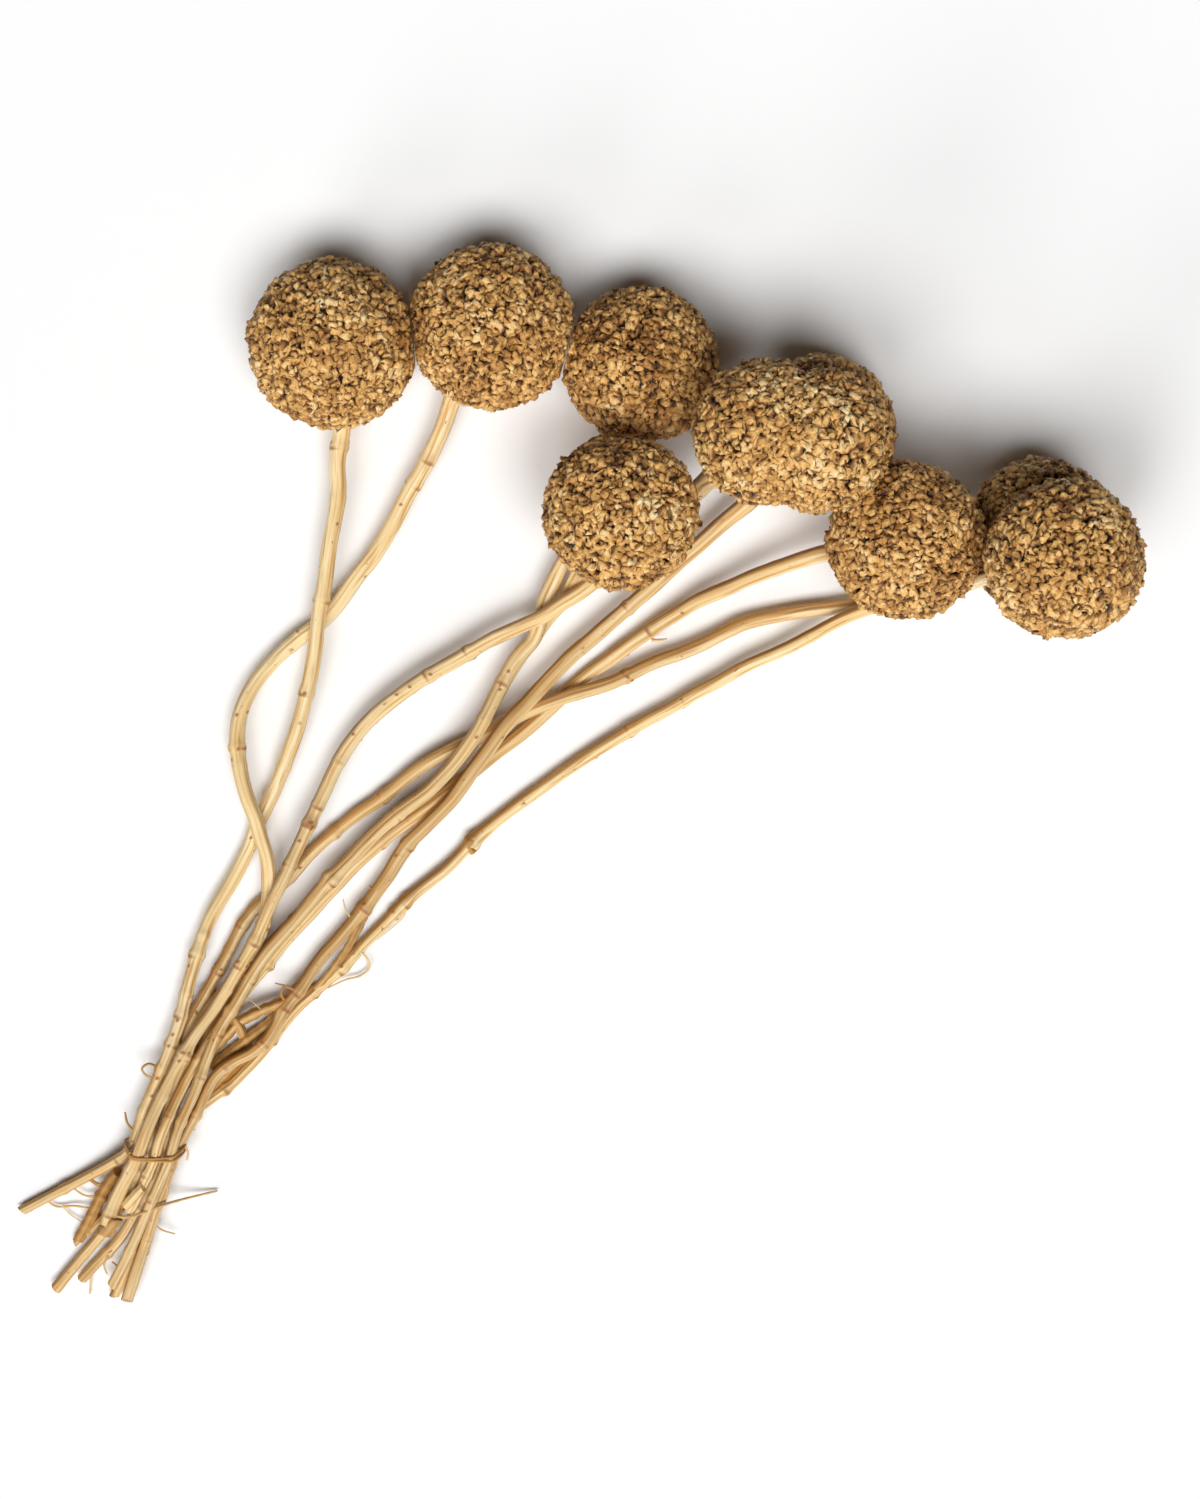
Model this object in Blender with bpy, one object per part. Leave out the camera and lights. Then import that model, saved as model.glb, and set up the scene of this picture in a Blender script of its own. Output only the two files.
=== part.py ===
"""Bunch of dried craspedia: nine ball heads on nine dry stems, tied near the cut ends and laid down.

Lengths are in metres, and names that end in _mm are in millimetres. +X runs from the tie to the heads.
"""

import math
import random

import bmesh
import bpy
import numpy as np
from mathutils import Vector

MM = 0.001

# How a point seen from straight above is placed on the table
EYE_HEIGHT_MM = 900.0
MM_PER_PIXEL = 0.214
VIEW_MIDDLE = (600.0, 749.5)
TURN = math.radians(50.5)
BUNCH_MIDDLE_MM = (-26.6, 25.3)

# The air between two pieces that touch
GAP_MM = 0.3

# Florets on a head: their spacing, the depth of the pits between them, and how much each of them strays
FLORET_PITCH_MM = 4.8
PIT_DEPTH_MM = 1.3
PIT_STRAY = (0.75, 1.2)
TIP_STRAY_MM = (-0.25, 0.35)
PLACE_STRAY = 0.25
HEXAGON_SHARE = math.sqrt(3) / 2

# A stem: where its top is seated in the head, its rings and sides, and how much its thickness strays
SEAT_SHARE = 0.97
STRAIGHT_START_MM = 1.4
STEM_LEAD_MM = 2.0
STEM_STEP_MM = 4.4
STEM_SIDES_RESOLUTION = 1
TWIST_A_RING = math.radians(14)
STEM_STRAY = 0.03

# The tie: a band of this width and thickness, the air inside it, and the shape of its section
TIE_WIDTH_MM = 1.8
TIE_THICKNESS_MM = 0.8
TIE_SLACK_MM = 0.3
TIE_RINGS = 44
TIE_SECTION = ((-0.5, 0.2), (-0.3, 0.5), (0.3, 0.5), (0.5, 0.2), (0.4, -0.5), (-0.4, -0.5))

# Each head: balls (x, y in the view, height mm, radius mm), where its stem leaves (x, y), degrees down
HEADS = {
    "a": ([(333, 344, 16.5, 17.5)], (340, 428), 20),
    "b": ([(491, 327, 16.1, 17.1)], (450, 400), 20),
    "c": ([(641, 365, 15.1, 16.1)], (630, 440), 25),
    "d": ([(621, 512, 32.0, 15.7)], (579, 573), 55),
    "e": ([(765, 432, 42.3, 14.5), (820, 441, 43.6, 14.4)], (712, 478), 40),
    "f": ([(820, 431, 14.7, 15.7)], (752, 500), 20),
    "g": ([(906, 540, 29.2, 16.1)], (830, 553), 40),
    "h": ([(1065, 560, 45.2, 15.9)], (990, 577), 50),
    "i": ([(1040, 536, 14.9, 15.8)], (975, 574), 25),
}

# Each stem from under its head to its cut end: (x, y in the view, height mm)
ROUTES = {
    "a": [
        (338, 452, 9.8), (338, 480, 9.4), (336, 510, 9.1), (330, 545, 8.8), (325, 580, 8.4),
        (320, 610, 8.0), (312, 670, 7.2), (305, 700, 6.6), (290, 750, 5.4), (270, 800, 4.0),
        (258, 822, 3.5), (247, 852, 3.2), (232, 880, 3.2), (209, 920, 3.6), (197, 955, 4.2),
        (190, 982, 4.4), (185, 1003, 4.6), (180, 1022, 4.8), (173, 1042, 5.1), (165, 1063, 5.5),
        (156, 1084, 5.8), (148, 1104, 5.9), (142, 1122, 5.9), (137, 1138, 5.9), (131, 1150, 5.4),
        (122, 1159, 4.4), (108, 1166, 3.3), (92, 1175, 2.5), (70, 1186, 1.8), (45, 1199, 1.5),
        (22, 1211, 1.4),
    ],
    "b": [
        (446, 418, 9.4), (435, 445, 8.4), (420, 475, 7.4), (405, 500, 6.6), (372, 558, 5.0),
        (355, 580, 4.4), (340, 600, 4.0), (325, 618, 3.8), (290, 645, 4.0), (272, 662, 4.2),
        (255, 682, 4.6), (245, 700, 5.0), (238, 725, 5.6), (237, 745, 6.2), (240, 770, 6.8),
        (247, 795, 7.2), (257, 820, 7.4), (262, 840, 7.2), (266, 855, 6.9), (269, 885, 6.2),
        (264, 925, 5.2), (248, 958, 4.4), (232, 983, 4.3), (215, 1003, 4.4), (203, 1022, 4.7),
        (193, 1041, 5.0), (184, 1062, 5.1), (175, 1083, 5.3), (170, 1104, 5.6), (167, 1124, 5.9),
        (164, 1143, 5.9), (158, 1164, 5.4), (150, 1184, 4.6), (139, 1207, 3.6), (125, 1230, 2.8),
        (108, 1250, 2.3), (92, 1265, 2.0), (80, 1277, 1.9),
    ],
    "c": [
        (620, 455, 8.0), (605, 483, 7.8), (590, 512, 7.4), (567, 560, 6.8), (555, 585, 6.4),
        (545, 605, 6.2), (537, 635, 6.2), (520, 655, 6.6), (505, 680, 7.2), (490, 710, 8.2),
        (478, 733, 8.8), (455, 765, 8.2), (430, 790, 7.6), (400, 812, 7.3), (370, 838, 7.2),
        (345, 865, 7.2), (330, 880, 7.2), (300, 915, 7.2), (262, 955, 7.3), (246, 978, 7.3),
        (233, 1000, 7.3), (222, 1019, 7.4), (214, 1036, 7.6), (207, 1053, 7.7), (200, 1071, 7.8),
        (193, 1090, 7.9), (186, 1107, 8.1), (179, 1124, 8.3), (173, 1141, 8.4), (167, 1158, 7.8),
        (159, 1178, 7.0), (151, 1200, 6.2), (142, 1223, 5.4), (131, 1248, 4.9), (122, 1268, 4.6),
        (113, 1285, 4.4),
    ],
    "d": [
        (585, 565, 14.0), (575, 580, 9.5), (566, 595, 5.5), (555, 610, 3.0), (543, 625, 2.2),
        (530, 645, 2.0), (518, 660, 2.0), (503, 684, 2.0), (490, 710, 2.0), (478, 733, 2.0),
        (455, 765, 2.0), (430, 790, 2.0), (400, 812, 2.0), (370, 838, 2.0), (345, 865, 2.0),
        (330, 880, 2.0), (300, 915, 2.0), (262, 955, 2.1), (245, 975, 2.2), (230, 1000, 2.3),
        (217, 1022, 2.4), (206, 1041, 2.5), (196, 1062, 2.7), (186, 1083, 3.0), (177, 1104, 3.2),
        (168, 1124, 3.6), (160, 1142, 3.7), (150, 1160, 3.1), (138, 1178, 2.4), (124, 1196, 2.0),
        (108, 1213, 1.8), (91, 1229, 1.6), (74, 1243, 1.5),
    ],
    "e": [
        (712, 478, 28.5), (690, 497, 20.5), (665, 517, 16.0), (636, 540, 12.5), (610, 562, 11.3),
        (583, 583, 10.6), (560, 600, 10.2), (545, 612, 10.0), (520, 625, 9.4), (490, 640, 8.6),
        (460, 657, 8.0), (430, 675, 7.6), (400, 695, 7.4), (375, 715, 7.2), (355, 738, 7.0),
        (340, 760, 7.0), (328, 785, 7.0), (318, 805, 7.2), (302, 840, 8.0), (286, 875, 9.0),
        (279, 890, 9.4), (272, 905, 9.2), (257, 942, 8.4), (244, 967, 7.9), (231, 990, 7.4),
        (217, 1010, 7.3), (204, 1027, 7.5), (191, 1046, 7.7), (179, 1066, 7.8), (169, 1086, 8.0),
        (160, 1106, 8.3), (151, 1126, 8.5), (144, 1144, 8.5), (138, 1158, 8.2), (131, 1172, 7.7),
        (123, 1187, 7.2), (117, 1201, 6.8), (111, 1215, 6.5), (107, 1227, 6.3),
    ],
    "f": [
        (752, 500, 9.4), (720, 526, 8.6), (690, 553, 8.0), (670, 570, 7.8), (630, 606, 7.4),
        (590, 640, 7.3), (570, 657, 7.4), (550, 678, 7.8), (530, 700, 8.2), (505, 725, 8.8),
        (490, 745, 8.6), (475, 765, 8.2), (450, 800, 7.0), (430, 820, 6.2), (410, 840, 5.4),
        (385, 880, 4.4), (370, 900, 4.2), (350, 925, 4.0), (320, 960, 4.0), (297, 993, 4.2),
        (286, 1005, 4.4), (268, 1038, 4.8), (256, 1050, 4.9), (240, 1058, 5.0), (225, 1067, 5.1),
        (213, 1078, 5.2), (206, 1092, 5.4), (200, 1105, 5.7), (193, 1119, 5.9), (185, 1132, 5.9),
        (178, 1145, 5.9), (171, 1161, 5.5), (163, 1182, 5.0), (155, 1205, 4.6), (147, 1230, 4.3),
        (139, 1256, 3.9), (132, 1280, 3.5), (126, 1300, 3.2),
    ],
    "g": [
        (830, 553, 16.2), (800, 560, 13.4), (760, 575, 10.6), (730, 588, 8.6), (700, 600, 6.8),
        (680, 612, 5.6), (660, 624, 4.6), (620, 652, 3.0), (580, 680, 2.0), (560, 699, 1.9),
        (540, 718, 1.9), (500, 750, 2.4), (460, 781, 3.6), (420, 812, 4.3), (400, 826, 4.4),
        (380, 842, 4.4), (350, 868, 4.4), (335, 885, 4.4), (305, 918, 4.4), (268, 962, 4.4),
        (250, 985, 4.5), (235, 1003, 4.7), (221, 1022, 4.9), (208, 1041, 5.2), (198, 1060, 5.8),
        (188, 1077, 6.5), (180, 1093, 7.2), (172, 1109, 7.9), (165, 1126, 8.4), (158, 1143, 8.6),
        (154, 1158, 8.4), (148, 1172, 8.0), (141, 1186, 7.5), (132, 1199, 7.0), (123, 1211, 6.6),
    ],
    "h": [
        (1004, 574, 29.8), (990, 577, 26.5), (978, 580, 22.8), (955, 589, 17.0), (925, 599, 12.8),
        (900, 603, 10.8), (870, 608, 9.4), (840, 620, 8.2), (800, 642, 6.8), (740, 670, 5.4),
        (690, 697, 4.4), (640, 725, 3.6), (600, 748, 3.0), (560, 775, 2.6), (520, 803, 2.3),
        (480, 835, 2.2), (450, 865, 2.2), (405, 903, 2.2), (370, 938, 2.2), (330, 979, 2.1),
        (300, 1005, 2.1), (270, 1043, 2.0), (245, 1071, 2.0), (228, 1088, 2.1), (210, 1100, 2.4),
        (195, 1112, 3.0), (183, 1125, 3.5), (174, 1140, 3.7), (167, 1160, 3.4), (159, 1182, 2.8),
        (151, 1208, 2.3), (141, 1235, 2.0), (129, 1265, 1.9), (115, 1296, 1.9),
    ],
    "i": [
        (962, 580, 6.6), (930, 592, 5.2), (900, 599, 4.4), (860, 604, 4.0), (800, 612, 3.6),
        (750, 622, 3.6), (700, 645, 4.0), (650, 665, 4.6), (600, 687, 5.2), (560, 699, 5.5),
        (520, 715, 5.5), (480, 737, 5.2), (440, 756, 4.0), (420, 768, 3.4), (380, 800, 2.6),
        (350, 820, 2.3), (320, 845, 2.2), (283, 883, 2.2), (258, 905, 2.2), (243, 924, 2.4),
        (230, 950, 2.6), (205, 995, 2.8), (192, 1018, 2.9), (182, 1040, 2.9), (172, 1062, 2.9),
        (163, 1083, 3.1), (157, 1104, 4.0), (153, 1124, 5.2), (151, 1142, 5.8), (146, 1158, 5.6),
        (139, 1174, 5.2), (130, 1192, 4.8), (118, 1212, 4.2), (104, 1232, 3.2), (82, 1258, 2.3),
        (56, 1288, 1.8),
    ],
}

# Radius of each stem in mm: under the head, half way, above the tie, at the tie and at the cut end
THICKNESS_MM = {
    "a": (1.9, 1.6, 1.42, 1.2, 1.15),
    "b": (1.9, 1.65, 1.35, 1.15, 1.2),
    "c": (1.9, 1.6, 1.3, 1.1, 1.2),
    "d": (1.8, 1.5, 1.2, 1.05, 0.9),
    "e": (2.5, 1.6, 1.4, 1.3, 1.7),
    "f": (1.9, 1.6, 1.3, 1.05, 1.4),
    "g": (1.9, 1.55, 1.25, 1.1, 1.25),
    "h": (1.7, 1.35, 1.2, 1.05, 1.1),
    "i": (1.8, 1.5, 1.25, 1.1, 1.3),
}
THICKNESS_STOPS = (0.0, 0.12, 0.5, 0.72, 0.84, 1.0)
NECK_SWELL = 1.06

# Knots on the stems: (x, y in the view, how much thicker the stem is there)
KNOTS = {
    "a": [(197, 955, 1.15)],
    "b": [(240, 748, 1.1), (248, 960, 1.15)],
    "c": [(328, 878, 1.35)],
    "d": [],
    "e": [(257, 942, 1.12), (183, 1056, 1.25)],
    "f": [(365, 907, 1.25), (297, 993, 1.2), (283, 1010, 1.25)],
    "g": [(266, 965, 1.2)],
    "h": [(473, 848, 1.6), (405, 903, 1.15), (341, 970, 1.3)],
    "i": [(243, 924, 1.15), (219, 972, 1.15)],
}
KNOT_LENGTH_MM = 1.2
KNOT_HEIGHT_MM = 4.0
KNOT_ROOM_MM = 2.2

# Where the tie crosses the view: its left and right ends and its crown, (x, y, height mm)
TIE_POINTS = ((131, 1144, 5.9), (184, 1146, 5.9), (158, 1160, 10.6))

# How the stems are eased apart: the rounds, the points along a stem, and how near counts as touching
EASE_ROUNDS = 420
EASE_STEP_MM = 2.0
EASE_REACH_MM = 7.5
EASE_GAP_MM = 0.65
HEAD_EASE_GAP_MM = 0.75
PAIR_ROUNDS = 40

# How far one round moves a point: from another stem, from a head, towards its neighbours and back home
STEM_PUSH = np.array((0.12, 0.12, 0.2))
HEAD_PUSH = 0.4
NEIGHBOUR_PULL = 0.45
HOME_SHARE = np.array((0.992, 0.992, 0.998))
POINTS_IN_SEAT = 4
POINTS_HELD = 5

# The air under the stems: along the table, and where the tie passes under them
TABLE_CLEARANCE_MM = 0.3
TIE_FLOOR_MM = 2.6
TIE_FLOOR_REACH_MM = 9.0

HEAD_COLOUR = (0.42, 0.27, 0.13)
STEM_COLOUR = (0.68, 0.50, 0.29)
TIE_COLOUR = (0.45, 0.29, 0.14)
HEAD_ROUGHNESS = 0.9
STEM_ROUGHNESS = 0.7
TIE_ROUGHNESS = 0.75
SHADE_STRAY = 0.07


def place(x, y, height_mm):
    """The spot in mm that is seen at (x, y) when it is this high above the table."""
    scale = MM_PER_PIXEL * (EYE_HEIGHT_MM - height_mm) / EYE_HEIGHT_MM
    right = (x - VIEW_MIDDLE[0]) * scale
    up = (VIEW_MIDDLE[1] - y) * scale
    along = right * math.cos(TURN) + up * math.sin(TURN) - BUNCH_MIDDLE_MM[0]
    across = up * math.cos(TURN) - right * math.sin(TURN) - BUNCH_MIDDLE_MM[1]
    return np.array((along, across, height_mm))


def unit(vector):
    return vector / np.linalg.norm(vector)


def clear_scene():
    for obj in list(bpy.data.objects):
        bpy.data.objects.remove(obj, do_unlink=True)


def finish(name, colour, roughness, draw):
    """A matt material whose colour strays a little from its kind's."""
    material = bpy.data.materials.new(name)
    material.use_nodes = True
    shade = 1 + draw.uniform(-SHADE_STRAY, SHADE_STRAY)
    shader = material.node_tree.nodes["Principled BSDF"]
    shader.inputs["Base Color"].default_value = (*(part * shade for part in colour), 1)
    shader.inputs["Roughness"].default_value = roughness
    shader.inputs["Metallic"].default_value = 0
    return material


def add_object(name, data, material, location_mm):
    obj = bpy.data.objects.new(name, data)
    obj.location = Vector(location_mm) * MM
    data.materials.append(material)
    bpy.context.collection.objects.link(obj)
    return obj


# Heads

def balls_of(key):
    """The balls of a head as a list of (middle, radius) in mm."""
    return [(place(x, y, height), radius) for x, y, height, radius in HEADS[key][0]]


def stem_way(key):
    """The ball that the stem meets, and the direction in which the stem leaves it."""
    middle, radius = balls_of(key)[0]
    _, (x, y), drop = HEADS[key]
    towards = place(x, y, middle[2]) - middle
    slope = math.radians(drop)
    level = unit(towards[:2]) * math.cos(slope)
    return middle, radius, np.array((level[0], level[1], -math.sin(slope)))


def seat_of(key):
    """The point in mm where the stem's top end is, just off the flat seat under the head."""
    middle, radius, way = stem_way(key)
    return middle + way * (radius * SEAT_SHARE + GAP_MM)


def pressed_planes(key):
    """Planes (normal, point) that the head stays behind: the table, the stem's seat and its neighbours."""
    middle, radius, way = stem_way(key)
    planes = [
        (np.array((0.0, 0.0, -1.0)), np.zeros(3)),
        (way, middle + way * radius * SEAT_SHARE),
    ]
    for other in HEADS:
        if other == key:
            continue
        for centre, size in balls_of(key):
            for other_centre, other_size in balls_of(other):
                apart = np.linalg.norm(other_centre - centre)
                if apart < size + other_size + GAP_MM:
                    normal = (other_centre - centre) / apart
                    share = (apart**2 + size**2 - other_size**2) / (2 * apart)
                    planes.append((normal, centre + normal * (share - GAP_MM / 2)))
    return planes


def reach(direction, core, balls):
    """How far the balls' outer skin lies from the core point in this direction."""
    furthest = 0.0
    for centre, radius in balls:
        offset = centre - core
        along = direction @ offset
        inside = along**2 - offset @ offset + radius**2
        if inside > 0:
            furthest = max(furthest, along + math.sqrt(inside))
    return furthest


def spiral(count, axis, draw):
    """Evenly spread directions in the spiral in which florets grow, round the head's own axis."""
    side = unit(np.cross(axis, (0.3, 0.2, 1.0)))
    other = np.cross(axis, side)
    golden = math.pi * (3 - math.sqrt(5))
    directions = []
    for index in range(count):
        height = 1 - (2 * index + 1) / count
        ring = math.sqrt(1 - height * height)
        angle = index * golden
        way = axis * height + (side * math.cos(angle) + other * math.sin(angle)) * ring
        stray = np.array([draw.uniform(-1, 1) for _ in range(3)])
        directions.append(unit(way + stray * PLACE_STRAY / math.sqrt(count)))
    return directions


def head_mesh(key, draw):
    """A ball packed with blunt florets, flat where it is pressed. Its middle is the mesh's own origin."""
    balls = balls_of(key)
    core = sum(centre for centre, _ in balls) / len(balls)
    mean_radius = sum(radius for _, radius in balls) / len(balls)
    ball_area = 4 * math.pi * mean_radius**2
    waist_area = 2 * math.pi * mean_radius * np.linalg.norm(balls[-1][0] - balls[0][0])
    count = round((ball_area + waist_area) / (FLORET_PITCH_MM**2 * HEXAGON_SHARE))
    _, _, way = stem_way(key)
    planes = pressed_planes(key)

    mesh = bmesh.new()
    for direction in spiral(count, -way, draw):
        mesh.verts.new(direction)
    bmesh.ops.convex_hull(mesh, input=mesh.verts)
    valleys = set(bmesh.ops.poke(mesh, faces=mesh.faces)["verts"])
    for vert in mesh.verts:
        direction = unit(np.array(vert.co))
        length = reach(direction, core, balls)
        if vert in valleys:
            length -= PIT_DEPTH_MM * draw.uniform(*PIT_STRAY)
        else:
            length += draw.uniform(*TIP_STRAY_MM)
        for normal, point in planes:
            facing = normal @ direction
            if facing > 0:
                length = min(length, normal @ (point - core) / facing)
        vert.co = Vector(direction * length) * MM
    bmesh.ops.recalc_face_normals(mesh, faces=mesh.faces)
    data = bpy.data.meshes.new("head_" + key)
    mesh.to_mesh(data)
    mesh.free()
    return data, core


def build_head(key):
    draw = random.Random("head " + key)
    data, core = head_mesh(key, draw)
    material = finish("floret_" + key, HEAD_COLOUR, HEAD_ROUGHNESS, draw)
    return add_object("head_" + key, data, material, core)


# Stems

def smooth_path(points, step):
    """Points a step apart on a smooth curve through the given points."""
    points = np.array(points, dtype=float)
    chord = lengths_along(points)
    slopes = np.gradient(points, chord, axis=0)
    at = np.linspace(0, chord[-1], round(chord[-1] / step) + 1)
    index = np.clip(np.searchsorted(chord, at, side="right") - 1, 0, len(points) - 2)
    span = (chord[index + 1] - chord[index])[:, None]
    share = (at - chord[index])[:, None] / span
    rest = 1 - share
    from_here = (points[index] * (1 + 2 * share) + slopes[index] * span * share) * rest**2
    from_next = (points[index + 1] * (1 + 2 * rest) - slopes[index + 1] * span * rest) * share**2
    return from_here + from_next


def lengths_along(path):
    """How far along the path each of its points lies."""
    return np.concatenate(([0.0], np.cumsum(np.linalg.norm(np.diff(path, axis=0), axis=1))))


def knot_places(key, path, along):
    """Each knot as (its length along the stem, how much thicker the stem is there)."""
    found = []
    for x, y, swell in KNOTS[key]:
        spot = place(x, y, KNOT_HEIGHT_MM)
        nearest = np.argmin(np.linalg.norm(path[:, :2] - spot[:2], axis=1))
        found.append((along[nearest], swell))
    return found


def radius_along(key, along, knots, total):
    """The stem's radius in mm at each length along it."""
    under_head, middle, above_tie, at_tie, at_end = THICKNESS_MM[key]
    sizes = (under_head, middle * NECK_SWELL, middle, above_tie, at_tie, at_end)
    radius = np.interp(along / total, THICKNESS_STOPS, sizes)
    for where, swell in knots:
        radius *= 1 + (swell - 1) * np.exp(-(((along - where) / KNOT_LENGTH_MM) ** 2))
    return radius


def push(points, others, radii, other_radii, pairs, moves, other_moves):
    """Adds to the moves what parts each listed point from its listed stretch of the other stem."""
    here, there = pairs
    start = others[there]
    stretch = others[there + 1] - start
    share = np.sum((points[here] - start) * stretch, axis=1) / np.sum(stretch * stretch, axis=1)
    share = np.clip(share, 0, 1)[:, None]
    away = points[here] - (start + stretch * share)
    apart = np.linalg.norm(away, axis=1)
    short = radii[here] + other_radii[there] + EASE_GAP_MM - apart
    near = short > 0
    shift = away[near] / apart[near][:, None] * short[near][:, None] * STEM_PUSH
    np.add.at(moves, here[near], shift)
    np.add.at(other_moves, there[near], -shift / 2)
    np.add.at(other_moves, there[near] + 1, -shift / 2)


def near_pairs(points, others):
    """Which points lie near which stretches of another stem."""
    middles = (others[:-1] + others[1:]) / 2
    apart = np.linalg.norm(points[:, None] - middles[None], axis=2)
    return np.nonzero(apart < EASE_REACH_MM)


def ease_apart(paths, radii):
    """Parts the stems from each other, from the heads and the table, and keeps them near their routes."""
    keys = list(paths)
    rest = {key: paths[key].copy() for key in keys}
    hold = {key: np.clip(np.arange(len(paths[key])) / POINTS_HELD, 0, 1)[:, None] for key in keys}
    tie_middle = sum(place(*point) for point in TIE_POINTS) / len(TIE_POINTS)
    floor = {}
    for key in keys:
        from_tie = np.linalg.norm(rest[key][:, :2] - tie_middle[:2], axis=1)
        near_tie = np.exp(-((from_tie / TIE_FLOOR_REACH_MM) ** 2))
        air = TABLE_CLEARANCE_MM + near_tie * (TIE_FLOOR_MM - TABLE_CLEARANCE_MM)
        floor[key] = radii[key] + air
    pairs = {}
    for turn in range(EASE_ROUNDS):
        moves = {key: np.zeros_like(paths[key]) for key in keys}
        for first in keys:
            for second in keys:
                if first == second:
                    continue
                if turn % PAIR_ROUNDS == 0:
                    pairs[first, second] = near_pairs(paths[first], paths[second])
                push(
                    paths[first], paths[second], radii[first], radii[second],
                    pairs[first, second], moves[first], moves[second],
                )
            for other in HEADS:
                for centre, size in balls_of(other):
                    away = paths[first] - centre
                    apart = np.linalg.norm(away, axis=1)
                    short = size + radii[first] + HEAD_EASE_GAP_MM - apart
                    if other == first:
                        short[:POINTS_IN_SEAT] = 0
                    near = short > 0
                    outward = away[near] / apart[near][:, None]
                    moves[first][near] += outward * short[near][:, None] * HEAD_PUSH
        for key in keys:
            offset = paths[key] + moves[key] - rest[key]
            offset[1:-1] += NEIGHBOUR_PULL * ((offset[:-2] + offset[2:]) / 2 - offset[1:-1])
            offset *= HOME_SHARE * hold[key]
            paths[key] = rest[key] + offset
            paths[key][:, 2] = np.maximum(paths[key][:, 2], floor[key])
    return paths


def stem_paths():
    """The middle line and the radius of every stem, in mm."""
    paths = {}
    radii = {}
    for key, route in ROUTES.items():
        _, _, way = stem_way(key)
        seat = seat_of(key)
        points = [seat, seat + way * STEM_LEAD_MM] + [place(*point) for point in route]
        paths[key] = smooth_path(points, EASE_STEP_MM)
        along = lengths_along(paths[key])
        radii[key] = radius_along(key, along, knot_places(key, paths[key], along), along[-1])
    return ease_apart(paths, radii)


def build_stem(key, path):
    """One stem as a six-sided tube with slow twist, thicker at its knots."""
    draw = random.Random("stem " + key)
    along = lengths_along(path)
    total = along[-1]
    knots = knot_places(key, path, along)
    stops = np.linspace(0, total, round(total / STEM_STEP_MM) + 1)
    for where, _ in knots:
        stops = stops[(abs(stops - where) > KNOT_ROOM_MM) | (stops == 0) | (stops == total)]
    extra = [where + step for where, _ in knots for step in (-KNOT_LENGTH_MM, 0, KNOT_LENGTH_MM)]
    extra.append(STRAIGHT_START_MM)
    stops = np.sort(np.concatenate((stops, extra)))
    radius = radius_along(key, stops, knots, total)

    data = bpy.data.curves.new("stem_" + key, "CURVE")
    data.dimensions = "3D"
    data.bevel_depth = MM
    data.bevel_resolution = STEM_SIDES_RESOLUTION
    data.use_fill_caps = True
    line = data.splines.new("POLY")
    line.points.add(len(stops) - 1)
    for index, stop in enumerate(stops):
        spot = np.array([np.interp(stop, along, path[:, axis]) for axis in range(3)])
        line.points[index].co = (*((spot - path[0]) * MM), 1)
        line.points[index].radius = radius[index] * (1 + draw.uniform(-STEM_STRAY, STEM_STRAY))
        line.points[index].tilt = index * TWIST_A_RING
    material = finish("stem_" + key, STEM_COLOUR, STEM_ROUGHNESS, draw)
    return add_object("stem_" + key, data, material, path[0])


# Tie

def outline_of(points):
    """The corners of the tightest loop round flat points, in order."""
    ordered = sorted(map(tuple, points))

    def half(run):
        chain = []
        for point in run:
            while len(chain) > 1:
                one, two = chain[-2], chain[-1]
                ahead = (two[0] - one[0]) * (point[1] - one[1])
                if ahead > (two[1] - one[1]) * (point[0] - one[0]):
                    break
                chain.pop()
            chain.append(point)
        return chain[:-1]

    return np.array(half(ordered) + half(ordered[::-1]))


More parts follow.
